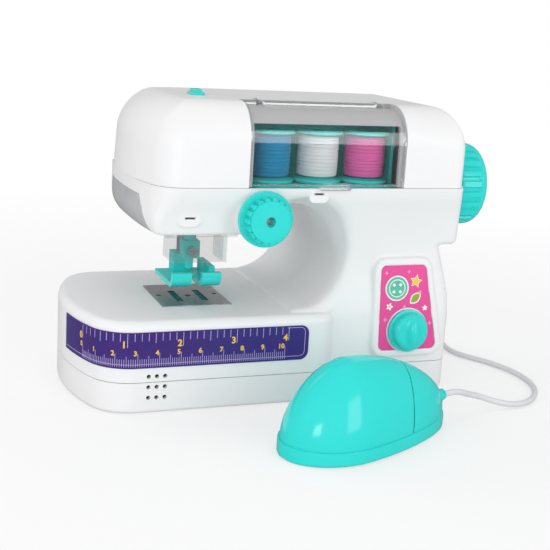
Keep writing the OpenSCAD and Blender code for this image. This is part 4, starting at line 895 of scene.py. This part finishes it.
def tube(path, radius, sides):
    """Points and four-sided faces of a closed tube along a path, with an even number of sides"""
    path = np.asarray(path, float)
    ahead = np.gradient(path, axis=0)
    ahead /= np.linalg.norm(ahead, axis=1, keepdims=True)
    side = np.cross(ahead, (0, 0, 1.0))
    side /= np.linalg.norm(side, axis=1, keepdims=True)
    over = np.cross(side, ahead)
    angles = np.arange(sides) * 2 * math.pi / sides
    ring = np.cos(angles)[None, :, None] * side[:, None, :] + np.sin(angles)[None, :, None] * over[:, None, :]
    points = (path[:, None, :] + radius * ring).reshape(-1, 3)
    row = np.arange(len(path) - 1)[:, None] * sides
    k = np.arange(sides)[None, :]
    n = (k + 1) % sides
    faces = np.stack([row + k, row + n, row + sides + n, row + sides + k], 2).reshape(-1, 4)
    cap = np.array([[0, j, j + 1, j + 2] for j in range(1, sides - 2, 2)])
    return points, np.concatenate([faces, cap[:, ::-1], cap + len(points) - sides])


def add_prism(bm, outline, placed, low, high):
    """A thin closed prism over a flat outline, placed on a surface"""
    bottom = [bm.verts.new(placed(s, t, low)) for s, t in outline]
    top = [bm.verts.new(placed(s, t, high)) for s, t in outline]
    bm.faces.new(top)
    bm.faces.new(bottom[::-1])
    for i in range(len(outline)):
        j = (i + 1) % len(outline)
        bm.faces.new((bottom[i], bottom[j], top[j], top[i]))


def add_strip(bm, centre, width, placed, low, high, closed=False):
    """A thin line of one width along points on a surface"""
    centre = np.asarray(centre, float)
    ahead = np.roll(centre, -1, 0) - np.roll(centre, 1, 0) if closed else np.gradient(centre, axis=0)
    ahead /= np.linalg.norm(ahead, axis=1, keepdims=True)
    across = np.stack([-ahead[:, 1], ahead[:, 0]], 1) * width / 2
    rows = []
    for p, d in zip(centre, across):
        section = ((p - d, low), (p + d, low), (p + d, high), (p - d, high))
        rows.append([bm.verts.new(placed(*q, h)) for q, h in section])
    for i in range(len(rows) if closed else len(rows) - 1):
        a, b = rows[i], rows[(i + 1) % len(rows)]
        for k in range(4):
            bm.faces.new((a[k], b[k], b[(k + 1) % 4], a[(k + 1) % 4]))
    if not closed:
        bm.faces.new(rows[0])
        bm.faces.new(rows[-1][::-1])


def add_numeral(bm, text, size, at, placed, low, high):
    """A numeral laid on a surface, its lower right corner at a place"""
    curve = bpy.data.curves.new("numeral", "FONT")
    curve.body = text
    curve.size = size
    curve.align_x = "RIGHT"
    curve.extrude = 0.5
    curve.offset = 0.03 * size
    curve.resolution_u = 3
    holder = new_object("numeral", curve)
    bpy.context.view_layer.update()
    mesh = bpy.data.meshes.new_from_object(holder.evaluated_get(bpy.context.evaluated_depsgraph_get()))
    made = [bm.verts.new(placed(at[0] + v.co.x, at[1] + v.co.y, high if v.co.z > 0 else low)) for v in mesh.vertices]
    for polygon in mesh.polygons:
        corners = [made[i] for i in polygon.vertices]
        if bm.faces.get(corners) is None:
            bm.faces.new(corners)
    bpy.data.objects.remove(holder)
    bpy.data.curves.remove(curve)
    bpy.data.meshes.remove(mesh)


def print_object(name, bm, slot, ink):
    """A printed layer that lies on its label"""
    bmesh.ops.remove_doubles(bm, verts=bm.verts, dist=1e-6)
    bmesh.ops.recalc_face_normals(bm, faces=bm.faces)
    mesh = bpy.data.meshes.new(name)
    bm.to_mesh(mesh)
    bm.free()
    hand_over(new_object(name, mesh, finish(ink)), "machine", slot)


# Stage

# Each lamp: its name, place, the height it aims at, size, power setting, and whether gloss mirrors it
LAMPS = (
    ("right_softbox", (0.53, -1.03, 0.34), 0.08, (0.45, 0.7), "key", True),
    ("left_softbox", (-0.65, -1.0, 0.26), 0.06, (0.3, 0.3), "fill", True),
    ("side_softbox", (-1.0, -0.3, 0.5), 0.06, (0.6, 0.6), "side", False),
    ("front_softbox", (-0.1, -1.2, 0.5), 0.05, (1.3, 0.9), "front", False),
    ("rear_softbox", (-0.75, 0.75, 0.75), 0.08, (0.5, 0.5), "rear", False),
    ("top_softbox", (0.1, 0.1, 1.1), 0.05, (0.7, 0.6), "top", False),
)
FLOOR_HALF, FLOOR_DROP, FLOOR_GLOW, FADE_START, FADE_RUN = 3.0, 0.0002, 0.55, 0.2, 0.35
FLOOR_IN_GLOSS, DIM_IN_GLOSS = 0.22, 0.6


class STAGE_OT_build(bpy.types.Operator):
    """Sets the camera, the pale floor, the studio lamps and the white background"""
    bl_idname = "machine.stage"
    bl_label = "Camera and studio"

    def execute(self, context):
        stage = context.scene.machine_stage
        self.camera(stage)
        context.scene.view_settings.view_transform = "Standard"
        self.floor(tuple(context.scene.machine_colours.backdrop))
        self.world(stage.ambient)
        for name, place, height, size, setting, mirrored in LAMPS:
            lamp = bpy.data.lights.new(name, "AREA")
            lamp.shape = "RECTANGLE"
            lamp.size, lamp.size_y = size
            lamp.energy = getattr(stage, setting)
            holder = new_object(name, lamp)
            holder.location = place
            holder.rotation_euler = (Vector((0, 0, height)) - Vector(place)).to_track_quat("-Z", "Y").to_euler()
            holder.visible_glossy = mirrored
        return {"FINISHED"}

    def camera(self, stage):
        cy, sy = math.cos(stage.yaw), math.sin(stage.yaw)
        cp, sp = math.cos(stage.pitch), math.sin(stage.pitch)
        cr, sr = math.cos(stage.roll), math.sin(stage.roll)
        ahead = Vector((sy * cp, cy * cp, -sp))
        right = Vector((cy, -sy, 0))
        up = right.cross(ahead)
        side, top = right * cr + up * sr, up * cr - right * sr
        camera = bpy.data.cameras.new("camera")
        camera.lens = stage.lens
        camera.sensor_width = 36
        camera.sensor_fit = "HORIZONTAL"
        camera.clip_start = 0.01
        holder = new_object("camera", camera)
        turn = Matrix((side, top, -ahead)).transposed().to_4x4()
        holder.matrix_world = Matrix.Translation(stage.place) @ turn
        bpy.context.scene.camera = holder

    def floor(self, tint):
        """A floor that takes the shadow near the machine and glows white further out"""
        paint = Paint("floor_finish")
        paint.finish(Base_Color=shade(tint, 0.9), Roughness=0.9, Specular_IOR_Level=0.1)
        mirrored = paint.ray("Glossy")
        seen = (paint.ray("Camera") + paint.ray("Transmission")).clamp()
        spot = paint.node("ShaderNodeVectorMath", {"operation": "LENGTH"}, {0: paint.place()}, "Value")
        light = paint.mix(mirrored, tint, shade(tint, FLOOR_IN_GLOSS))
        glow = FLOOR_GLOW + (1 - FLOOR_GLOW) * ((spot - FADE_START) / FADE_RUN).clamp()
        paint.blend((seen * glow + mirrored).clamp(), paint.node("ShaderNodeEmission", {}, {"Color": light}))
        mesh = bpy.data.meshes.new("floor")
        corners = [(i * FLOOR_HALF, j * FLOOR_HALF, 0) for i, j in ((-1, -1), (1, -1), (1, 1), (-1, 1))]
        mesh.from_pydata(corners, [], [(0, 1, 2, 3)])
        floor = new_object("floor", mesh, paint.made)
        floor.location.z = -FLOOR_DROP

    def world(self, ambient):
        """White as seen, softer as light, and dimmer in gloss"""
        paint = Paint("studio", "worlds", "ShaderNodeBackground", "ShaderNodeOutputWorld")
        white = (1, 1, 1)
        paint.finish(Color=white, Strength=ambient - DIM_IN_GLOSS * ambient * paint.ray("Glossy"))
        seen = (paint.ray("Camera") + paint.ray("Transmission")).clamp()
        paint.blend(seen, paint.node("ShaderNodeBackground", {}, {"Color": white}))
        bpy.context.scene.world = paint.made


# Pieces

CORD_D, CORD_STEPS = 2.8, 6
CORD_POINTS = [
    (110, 28, 8.4), (114, 28, 8.4), (118, 26, 7), (120, 21, 5), (120, 15, 3), (120, 9, 1.8), (121, 2, 1.6),
    (124, -5, 1.6), (128, -12, 1.6), (132, -20, 1.6), (135, -30, 1.6), (136, -40, 1.6), (135, -50, 1.6),
    (132, -59, 1.6), (127, -67, 1.6), (120, -74, 1.6), (112, -78, 1.8), (104, -79, 2.6), (96, -78, 4.4), (88, -78, 7.2),
    *pedal_turn([(81, 1.6, 10.4), (75, 0.4, 12.6), (70, 0, COLLAR_Z), (66, 0, COLLAR_Z), (61, 0, COLLAR_Z)]),
]


def smooth_route(points, steps):
    """Points along a smooth curve that passes through each given point"""
    p = np.array(points, float)
    p = np.vstack([2 * p[0] - p[1], p, 2 * p[-1] - p[-2]])
    t = np.arange(steps)[:, None] / steps
    rows = []
    for a, b, c, d in zip(p, p[1:], p[2:], p[3:]):
        curve = (c - a) * t + (2 * a - 5 * b + 4 * c - d) * t ** 2 + (3 * b - a - 3 * c + d) * t ** 3
        rows.append(0.5 * (2 * b + curve))
    return np.vstack(rows + [p[-2:-1]])


class CORD_OT_build(bpy.types.Operator):
    """Lays the pedal cord from its plug round to the pedal"""
    bl_idname = "machine.cord"
    bl_label = "Pedal cord"

    def execute(self, context):
        route = smooth_route(CORD_POINTS, CORD_STEPS)
        curve = bpy.data.curves.new("pedal_cord_line", "CURVE")
        curve.dimensions = "3D"
        curve.bevel_depth = CORD_D / 2 * MM
        curve.bevel_resolution = 5
        curve.use_fill_caps = True
        line = curve.splines.new("POLY")
        line.points.add(len(route) - 1)
        line.points.foreach_set("co", np.hstack([route * MM, np.ones((len(route), 1))]).ravel())
        line.use_smooth = True
        cord = new_object("cord_line", curve, finish("cord_sheath"))
        hand_over(cord, "machine", "cord_sheath", "pedal_cord")
        dress("jack_plug", "cord_sheath", 0.6, 3)
        return {"FINISHED"}


class HOUSING_OT_build(bpy.types.Operator):
    """Moulds the base pan and the two halves of the housing"""
    bl_idname = "machine.housing"
    bl_label = "Base and housings"

    def execute(self, context):
        step = context.scene.machine_mouldings.mesh_step / MM
        long, tall, front_skin = (-100.3, 100.4, step), (12.9, 104.7, step), (-52, -46, 0.8)
        holes = (SPEAKER_X - 6, SPEAKER_X + 6, 0.42)
        rows = [(z - 1.8, z + 1.8, 0.42) for z in SPEAKER_ROWS]
        slots_x = [(x - 4, x + 4, 0.6) for x, z in GUIDE_SLOTS]
        slots_z = [(z - 4.6, z + 1.6, 0.4) for x, z in GUIDE_SLOTS]
        front_axes = (axis(*long, holes, (43, 83, 0.75), *slots_x), axis(-53.1, 1.6, step, front_skin),
                      axis(*tall, rows[2], (17, 68, 0.85), *slots_z))
        rear_axes = (axis(*long), axis(-1.7, 52.5, step), axis(*tall))
        base_axes = (axis(*long, holes), axis(-53.1, 52.5, step, front_skin), axis(-1.3, 16.6, 0.9, *rows[:2]))
        moulding("front_housing_moulding", housing(True), front_axes, "white_plastic", "machine", "front_housing")
        moulding("rear_housing_moulding", housing(False), rear_axes, "white_plastic", "machine", "rear_housing")
        moulding("base_moulding", base_field, base_axes, "white_plastic", "machine", "base_pan")
        return {"FINISHED"}


class COVER_OT_build(bpy.types.Operator):
    """Moulds the top cover, the clear lid and the lamp lens"""
    bl_idname = "machine.cover"
    bl_label = "Cover, lid and lens"

    def execute(self, context):
        step = context.scene.machine_mouldings.mesh_step / MM
        ends = [(LID_X + s * LID_HALF - 3, LID_X + s * LID_HALF + 3, 0.6) for s in (-1, 1)]
        cover_axes = (axis(-73.3, 98.4, step, *ends, (-42, -34, 0.7)), axis(-51.1, 51.3, step, (-50, -45, 0.8)),
                      axis(101.3, 142.4, step, (101, 106, 0.6)))
        lid_axes = (axis(-24.9, 54.6, 0.9, (-24.5, -20.5, 0.5), (50, 54, 0.5)), axis(-54.1, -15.3, 0.7),
                    axis(100.3, 142.6, 0.7))
        lens_axes = (axis(-74.2, -54.2, 0.7), axis(-40.3, 40.6, 0.9), axis(77.3, 98.2, 0.7))
        # The top cover takes the white with painted shade on the ledge under the lid
        moulding("top_cover_moulding", cover_field, cover_axes, "white_plastic", "machine", "top_cover", "cover_plastic")
        moulding("lid_moulding", lid_field, lid_axes, "clear_plastic", "lid", "window_lid", "lid_plastic")
        moulding("lens_moulding", lens_field, lens_axes, "clear_plastic", "machine", "lamp_lens", "lens_plastic")
        dress("lid_pins", "pin_steel")
        return {"FINISHED"}


class PEDAL_OT_build(bpy.types.Operator):
    """Moulds the treadle, the tail and the base of the pedal"""
    bl_idname = "machine.pedal"
    bl_label = "Pedal"

    def execute(self, context):
        step = context.scene.machine_mouldings.mesh_step / MM * 0.8
        fine = step * 0.9
        across = axis(-23.1, 23.2, step)
        treadle_axes = (axis(-29.3, 35.6, step), across, axis(4.3, 43.3, step))
        tail_axes = (axis(14.3, 67.6, fine), across, axis(1.3, 38.3, fine))
        base_axes = (axis(-29.3, 67.6, step), across, axis(-1.1, 8.4, 0.7))
        for name, field, axes, body, node in (
                ("treadle_moulding", treadle_field, treadle_axes, "treadle", "pedal_cover"),
                ("tail_moulding", tail_field, tail_axes, "machine", "pedal_tail_cap"),
                ("pedal_base_moulding", pedal_base_field, base_axes, "machine", "pedal_base")):
            moulding(name, field, axes, "teal_plastic", body, node, turn=pedal_turn)
        dress("pedal_pin", "steel")
        dress("pedal_spring", "steel")
        return {"FINISHED"}


RULER_T, RULER_LOW, RULER_HIGH, RULER_RIGHT, RULER_ZERO = 0.45, 21.4, 38.1, 9.5, -102.25
INCH, BORDER_LEFT, BORDER_R, BORDER_W = 25.4, -17.3, 2.4, 0.22
CM_TICKS, INCH_TICKS = (6.2, 5.0, 3.6), (6.4, 4.6, 3.6)
INK, SINK = 0.05, 0.02


def ruler_place(s, z, lift):
    """A point on the ruler, s along it from its zero, z up and lift out of the bed"""
    corner_x, corner_y, bow_x = -72.16, BED_CORNER - HALF_DEPTH, BED_BOW - BED_REACH
    line_s = corner_x - RULER_ZERO
    slant = (HALF_DEPTH - BED_CORNER) / (BED_BOW - BED_CORNER)
    corner_run = BED_CORNER * math.acos(slant)
    if s >= line_s:
        spot = (s + RULER_ZERO, -HALF_DEPTH - lift)
    elif s >= line_s - corner_run:
        a, r = (line_s - s) / BED_CORNER, BED_CORNER + lift
        spot = (corner_x - r * math.sin(a), corner_y - r * math.cos(a))
    else:
        a, r = math.asin(slant) - (line_s - corner_run - s) / BED_BOW, BED_BOW + lift
        spot = (bow_x - r * math.cos(a), -r * math.sin(a))
    return Vector((*spot, z)) * MM


def round_points(u, v, r, angles):
    return [(u + r * math.cos(a), v + r * math.sin(a)) for a in angles]


class RULER_OT_build(bpy.types.Operator):
    """Prints the ruler's ticks, border and numerals on its label"""
    bl_idname = "machine.ruler"
    bl_label = "Ruler"

    def execute(self, context):
        dress("ruler_label", "purple_label", 0.12, 2)
        layer = (RULER_T - SINK, RULER_T + INK)
        foot, head = RULER_LOW + 0.8, RULER_HIGH - 0.4
        lines = bmesh.new()
        for k in range(101):
            tall = CM_TICKS[0 if k % 10 == 0 else 1 if k % 5 == 0 else 2]
            self.tick(lines, k, foot, foot + tall, 0.1, layer)
        for k in range(33):
            tall = INCH_TICKS[0 if k % 8 == 0 else 1 if k % 4 == 0 else 2]
            self.tick(lines, k * INCH / 8, head - tall, head, 0.12, layer)
        end, top, bottom = RULER_RIGHT - RULER_ZERO - 1.9, RULER_HIGH - 0.9, RULER_LOW + 1.9
        turn, straight = end - BORDER_R, end - BORDER_R - 0.5
        path = [(s, top) for s in np.linspace(end - 9, straight, 12)]
        path += round_points(turn, top - BORDER_R, BORDER_R, np.linspace(math.pi / 2, 0, 7))
        path += round_points(turn, bottom + BORDER_R, BORDER_R, np.linspace(0, -math.pi / 2, 7))
        path += [(s, bottom) for s in np.linspace(straight, BORDER_LEFT, 150)]
        add_strip(lines, path, BORDER_W, ruler_place, *layer)
        print_object("ruler_lines", lines, "purple_label", "lilac_ink")
        numerals = bmesh.new()
        for k in range(11):
            add_numeral(numerals, str(k), 3.2, (10 * k - 0.3, RULER_LOW + 6.1), ruler_place, *layer)
        for k in range(5):
            add_numeral(numerals, str(k), 4.3, (INCH * k - 0.5, RULER_HIGH - 6.9), ruler_place, *layer)
        print_object("ruler_numerals", numerals, "purple_label", "yellow_ink")
        return {"FINISHED"}

    def tick(self, bm, s, z0, z1, half, layer):
        add_prism(bm, [(s - half, z0), (s + half, z0), (s + half, z1), (s - half, z1)], ruler_place, *layer)


PRINT_W = 2.8
BUTTON, STAR, BLOSSOM = (8.9, 30.6), (19.0, 33.8), (5.2, 21.6)


def ring_points(u, v, r, count=36):
    return round_points(u, v, r, np.arange(count) * 2 * math.pi / count)


def star_points(u, v, big, small, points, turn=0.0):
    outline = [((big, small)[i % 2], turn + i * math.pi / points) for i in range(2 * points)]
    return [(u + r * math.sin(a), v + r * math.cos(a)) for r, a in outline]


def blossom_points(u, v, r, petals, turn=0.0):
    outline = [(r * (0.78 + 0.22 * math.cos(petals * a)), a + turn) for a in np.arange(60) * 2 * math.pi / 60]
    return [(u + reach * math.cos(a), v + reach * math.sin(a)) for reach, a in outline]


def leaf_points(u, v, reach, width, turn):
    outline = [(t * reach, width * math.sin(math.pi * t) ** 0.8) for t in np.linspace(0, 1, 14)]
    outline += [(t * reach, -width * math.sin(math.pi * t) ** 0.8) for t in np.linspace(1, 0, 14)[1:-1]]
    c, s = math.cos(turn), math.sin(turn)
    return [(u + a * c - b * s, v + a * s + b * c) for a, b in outline]


class PANEL_OT_build(bpy.types.Operator):
    """Prints a plain pattern of a button, a leaf, blossoms and stars on the panel"""
    bl_idname = "machine.panel"
    bl_label = "Panel print"

    def execute(self, context):
        dress("panel_label", "pink_label", 0.1, 1)
        self.layer("panel_white", "white_ink", 0, [
            ring_points(*BUTTON, 6.3), star_points(*STAR, 3.5, 1.75, 5, 0.2), leaf_points(16.3, 22.8, 7.6, 2.4, 0.75),
            blossom_points(*BLOSSOM, 1.9, 5), blossom_points(24.6, 20.4, 1.5, 5, 0.4)])
        self.layer("panel_mint", "mint_ink", 1, [ring_points(*BUTTON, 5.6)])
        self.layer("panel_yellow", "yellow_ink", 1, [
            star_points(*STAR, 2.8, 1.4, 5, 0.2), ring_points(*BLOSSOM, 0.6, 14)])
        self.layer("panel_leaf", "leaf_ink", 1, [leaf_points(16.9, 23.4, 6.0, 1.7, 0.75)])
        self.layer("panel_rose", "rose_ink", 0, [
            star_points(2.9, 38.2, 1.1, 0.5, 4), star_points(15.0, 38.6, 1.0, 0.5, 4),
            star_points(21.6, 28.4, 1.1, 0.5, 4), star_points(3.2, 15.2, 1.2, 0.6, 4),
            star_points(27.6, 12.6, 1.2, 0.6, 4), ring_points(13.4, 21.4, 0.7, 14)])
        marks = bmesh.new()
        layer = (PRINT_W + INK, PRINT_W + 3 * INK)
        for du, dv in ((-1.7, -1.7), (1.7, -1.7), (-1.7, 1.7), (1.7, 1.7)):
            add_prism(marks, ring_points(BUTTON[0] + du, BUTTON[1] + dv, 0.8, 16), panel_place, *layer)
        add_strip(marks, ring_points(*BUTTON, 4.2, 48), 0.5, panel_place, *layer, True)
        print_object("panel_button_marks", marks, "pink_label", "white_ink")
        halo = bmesh.new()
        add_strip(halo, ring_points(KNOB_U, KNOB_V, 10.75, 72), 0.9, panel_place, PRINT_W - SINK, PRINT_W + INK, True)
        print_object("panel_knob_ring", halo, "pink_label", "white_ink")
        return {"FINISHED"}

    def layer(self, name, ink, level, outlines):
        bm = bmesh.new()
        for outline in outlines:
            add_prism(bm, outline, panel_place, PRINT_W - SINK + level * INK, PRINT_W + (level + 1) * INK)
        print_object(name, bm, "pink_label", ink)


YARN, TURNS, PER_TURN, WOUND_R, CORE_SIDES = 0.56, 33, 40, 9.1, 64
SPOOLS = (("spool_left", "blue_thread"), ("spool_middle", "white_thread"), ("spool_right", "pink_thread"))


class THREAD_OT_build(bpy.types.Operator):
    """Winds the three spools with thread"""
    bl_idname = "machine.thread"
    bl_label = "Spools and thread"

    def execute(self, context):
        dress("spool_tray", "teal_plastic", 0.25, 2)
        t = np.linspace(0, 1, TURNS * PER_TURN + 1)
        for i, (body, tone) in enumerate(SPOOLS, 1):
            dress(f"spool_{i}", "teal_plastic", 0.35, 3)
            low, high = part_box(f"thread_pack_{i}")
            middle = (low + high) / 2 / MM
            bottom, top = low.z / MM + YARN, high.z / MM - YARN
            swell = WOUND_R + 0.36 * np.sin(math.pi * t) ** 0.5 + 0.05 * np.sin(37 * t) + 0.04 * np.sin(91 * t + i)
            turn = 2 * math.pi * TURNS * t + i
            path = np.stack([middle.x + swell * np.cos(turn), middle.y + swell * np.sin(turn),
                             bottom + (top - bottom) * t + 0.12 * np.sin(turn * 0.31 + i)], 1)
            points, faces = tube(path, YARN / 2 + 0.05, 6)
            wound = mesh_object(f"thread_turns_{i}", points, faces, finish(tone), 180)
            hand_over(wound, body, tone, f"thread_winding_{i}")
            core = self.core(f"thread_core_{i}", middle, bottom - YARN, top + YARN, finish(tone))
            hand_over(core, body, tone, f"thread_pack_{i}")
        return {"FINISHED"}

    def core(self, name, middle, low, high, material):
        """The closed pack under the outer turns, with soft ends"""
        half = [(5.05, 0), (8.4, 0), (8.9, 0.5), (9.0, 2)]
        profile = [(r, low + d) for r, d in half] + [(9.25, (low + high) / 2)] + [(r, high - d) for r, d in half[::-1]]
        points = [(middle.x + x, middle.y + y, z) for r, z in profile for x, y in ring_points(0, 0, r, CORE_SIDES)]
        faces = []
        for i in range(len(profile)):
            a, b = i * CORE_SIDES, (i + 1) % len(profile) * CORE_SIDES
            for k in range(CORE_SIDES):
                n = (k + 1) % CORE_SIDES
                faces.append((a + k, a + n, b + n, b + k))
        return mesh_object(name, points, faces, material, 50)


class CONTROL_OT_build(bpy.types.Operator):
    """Finishes the handwheel, the tension dial and the selector knob"""
    bl_idname = "machine.controls"
    bl_label = "Handwheel, dial and knob"

    def execute(self, context):
        wheel_axes = (axis(88.2, 119.3, 0.75), axis(-30.4, 14.4, 0.62), axis(76.1, 121.0, 0.62))
        knob_axes = (axis(-11.6, 11.7, 0.62), axis(-11.6, 11.7, 0.62), axis(-5.4, 13.4, 0.55))
        moulding("handwheel_moulding", wheel_field, wheel_axes, "teal_plastic", "drive", "handwheel")
        moulding("selector_knob_moulding", knob_field, knob_axes, "teal_plastic", "selector", "selector_knob",
                 turn=panel_turn)
        dress("tension_dial", "teal_plastic", 0.25, 2)
        dress("tension_stud", "steel", 0.2)
        dress("rotary_switch", "dark_plastic", 0.3)
        return {"FINISHED"}


class SEWING_OT_build(bpy.types.Operator):
    """Finishes the needle, the presser foot, the guard and the plate"""
    bl_idname = "machine.sewing"
    bl_label = "Needle and presser foot"

    def execute(self, context):
        dress("needle_bar", "teal_plastic", 0.4, 3)
        dress("presser_foot", "teal_plastic", 0.35, 3)
        dress("needle_guard", "clear_plastic", 0.3, 2)
        for node in ("needle", "needle_screw", "presser_bar", "presser_spring", "needle_plate", "feed_dog"):
            dress(node, "steel", 0.12)
        dress("presser_lifter", "white_plastic", 0.4, 3)
        return {"FINISHED"}


INNER_FINISHES = {
    "steel": ("main_shaft", "crank", "motor", "lower_shaft", "looper", "base_screws", "housing_screws"),
    "nylon": ("drive_gear", "upper_pulley", "motor_pinion", "lower_pulley"),
    "bronze": ("shaft_bushes",),
    "belt_rubber": ("timing_belt",),
    "circuit_board": ("lamp_board", "control_board"),
    "dark_plastic": ("speaker", "jack_socket"),
    "cell_jacket": ("battery_cells",),
    "white_plastic": ("battery_door",),
}


class INNER_OT_build(bpy.types.Operator):
    """Finishes the drive, the electrics and the fasteners"""
    bl_idname = "machine.inner"
    bl_label = "Inner works and fasteners"

    def execute(self, context):
        for slot, nodes in INNER_FINISHES.items():
            for node in nodes:
                dress(node, slot, 0.2)
        return {"FINISHED"}


class MACHINE_PT_panel(bpy.types.Panel):
    """Lists the sizes, the colours, the stage and the pieces"""
    bl_idname = "MACHINE_PT_panel"
    bl_label = "Toy sewing machine"
    bl_space_type = "VIEW_3D"
    bl_region_type = "UI"
    bl_category = "Sewing machine"

    def draw(self, context):
        for name in GROUPS:
            group, box = getattr(context.scene, name), self.layout.box()
            for setting in group.__annotations__:
                box.prop(group, setting)
        for piece in OPERATORS:
            self.layout.operator(piece.bl_idname)


GROUPS = {"machine_mouldings": MouldingSizes, "machine_colours": Colours, "machine_stage": StageSettings}
OPERATORS = (STAGE_OT_build, CORD_OT_build, HOUSING_OT_build, COVER_OT_build, PEDAL_OT_build, RULER_OT_build,
             PANEL_OT_build, THREAD_OT_build, CONTROL_OT_build, SEWING_OT_build, INNER_OT_build)
CLASSES = (*GROUPS.values(), *OPERATORS, MACHINE_PT_panel)


def register():
    for made in CLASSES:
        bpy.utils.register_class(made)
    for name, group in GROUPS.items():
        setattr(bpy.types.Scene, name, bpy.props.PointerProperty(type=group))


def unregister():
    for name in GROUPS:
        delattr(bpy.types.Scene, name)
    for made in reversed(CLASSES):
        bpy.utils.unregister_class(made)


def main():
    register()
    bpy.ops.machine.stage()
    bpy.ops.machine.cord()
    bpy.ops.machine.housing()
    bpy.ops.machine.cover()
    bpy.ops.machine.pedal()
    bpy.ops.machine.ruler()
    bpy.ops.machine.panel()
    bpy.ops.machine.thread()
    bpy.ops.machine.controls()
    bpy.ops.machine.sewing()
    bpy.ops.machine.inner()


if __name__ == "__main__":
    main()
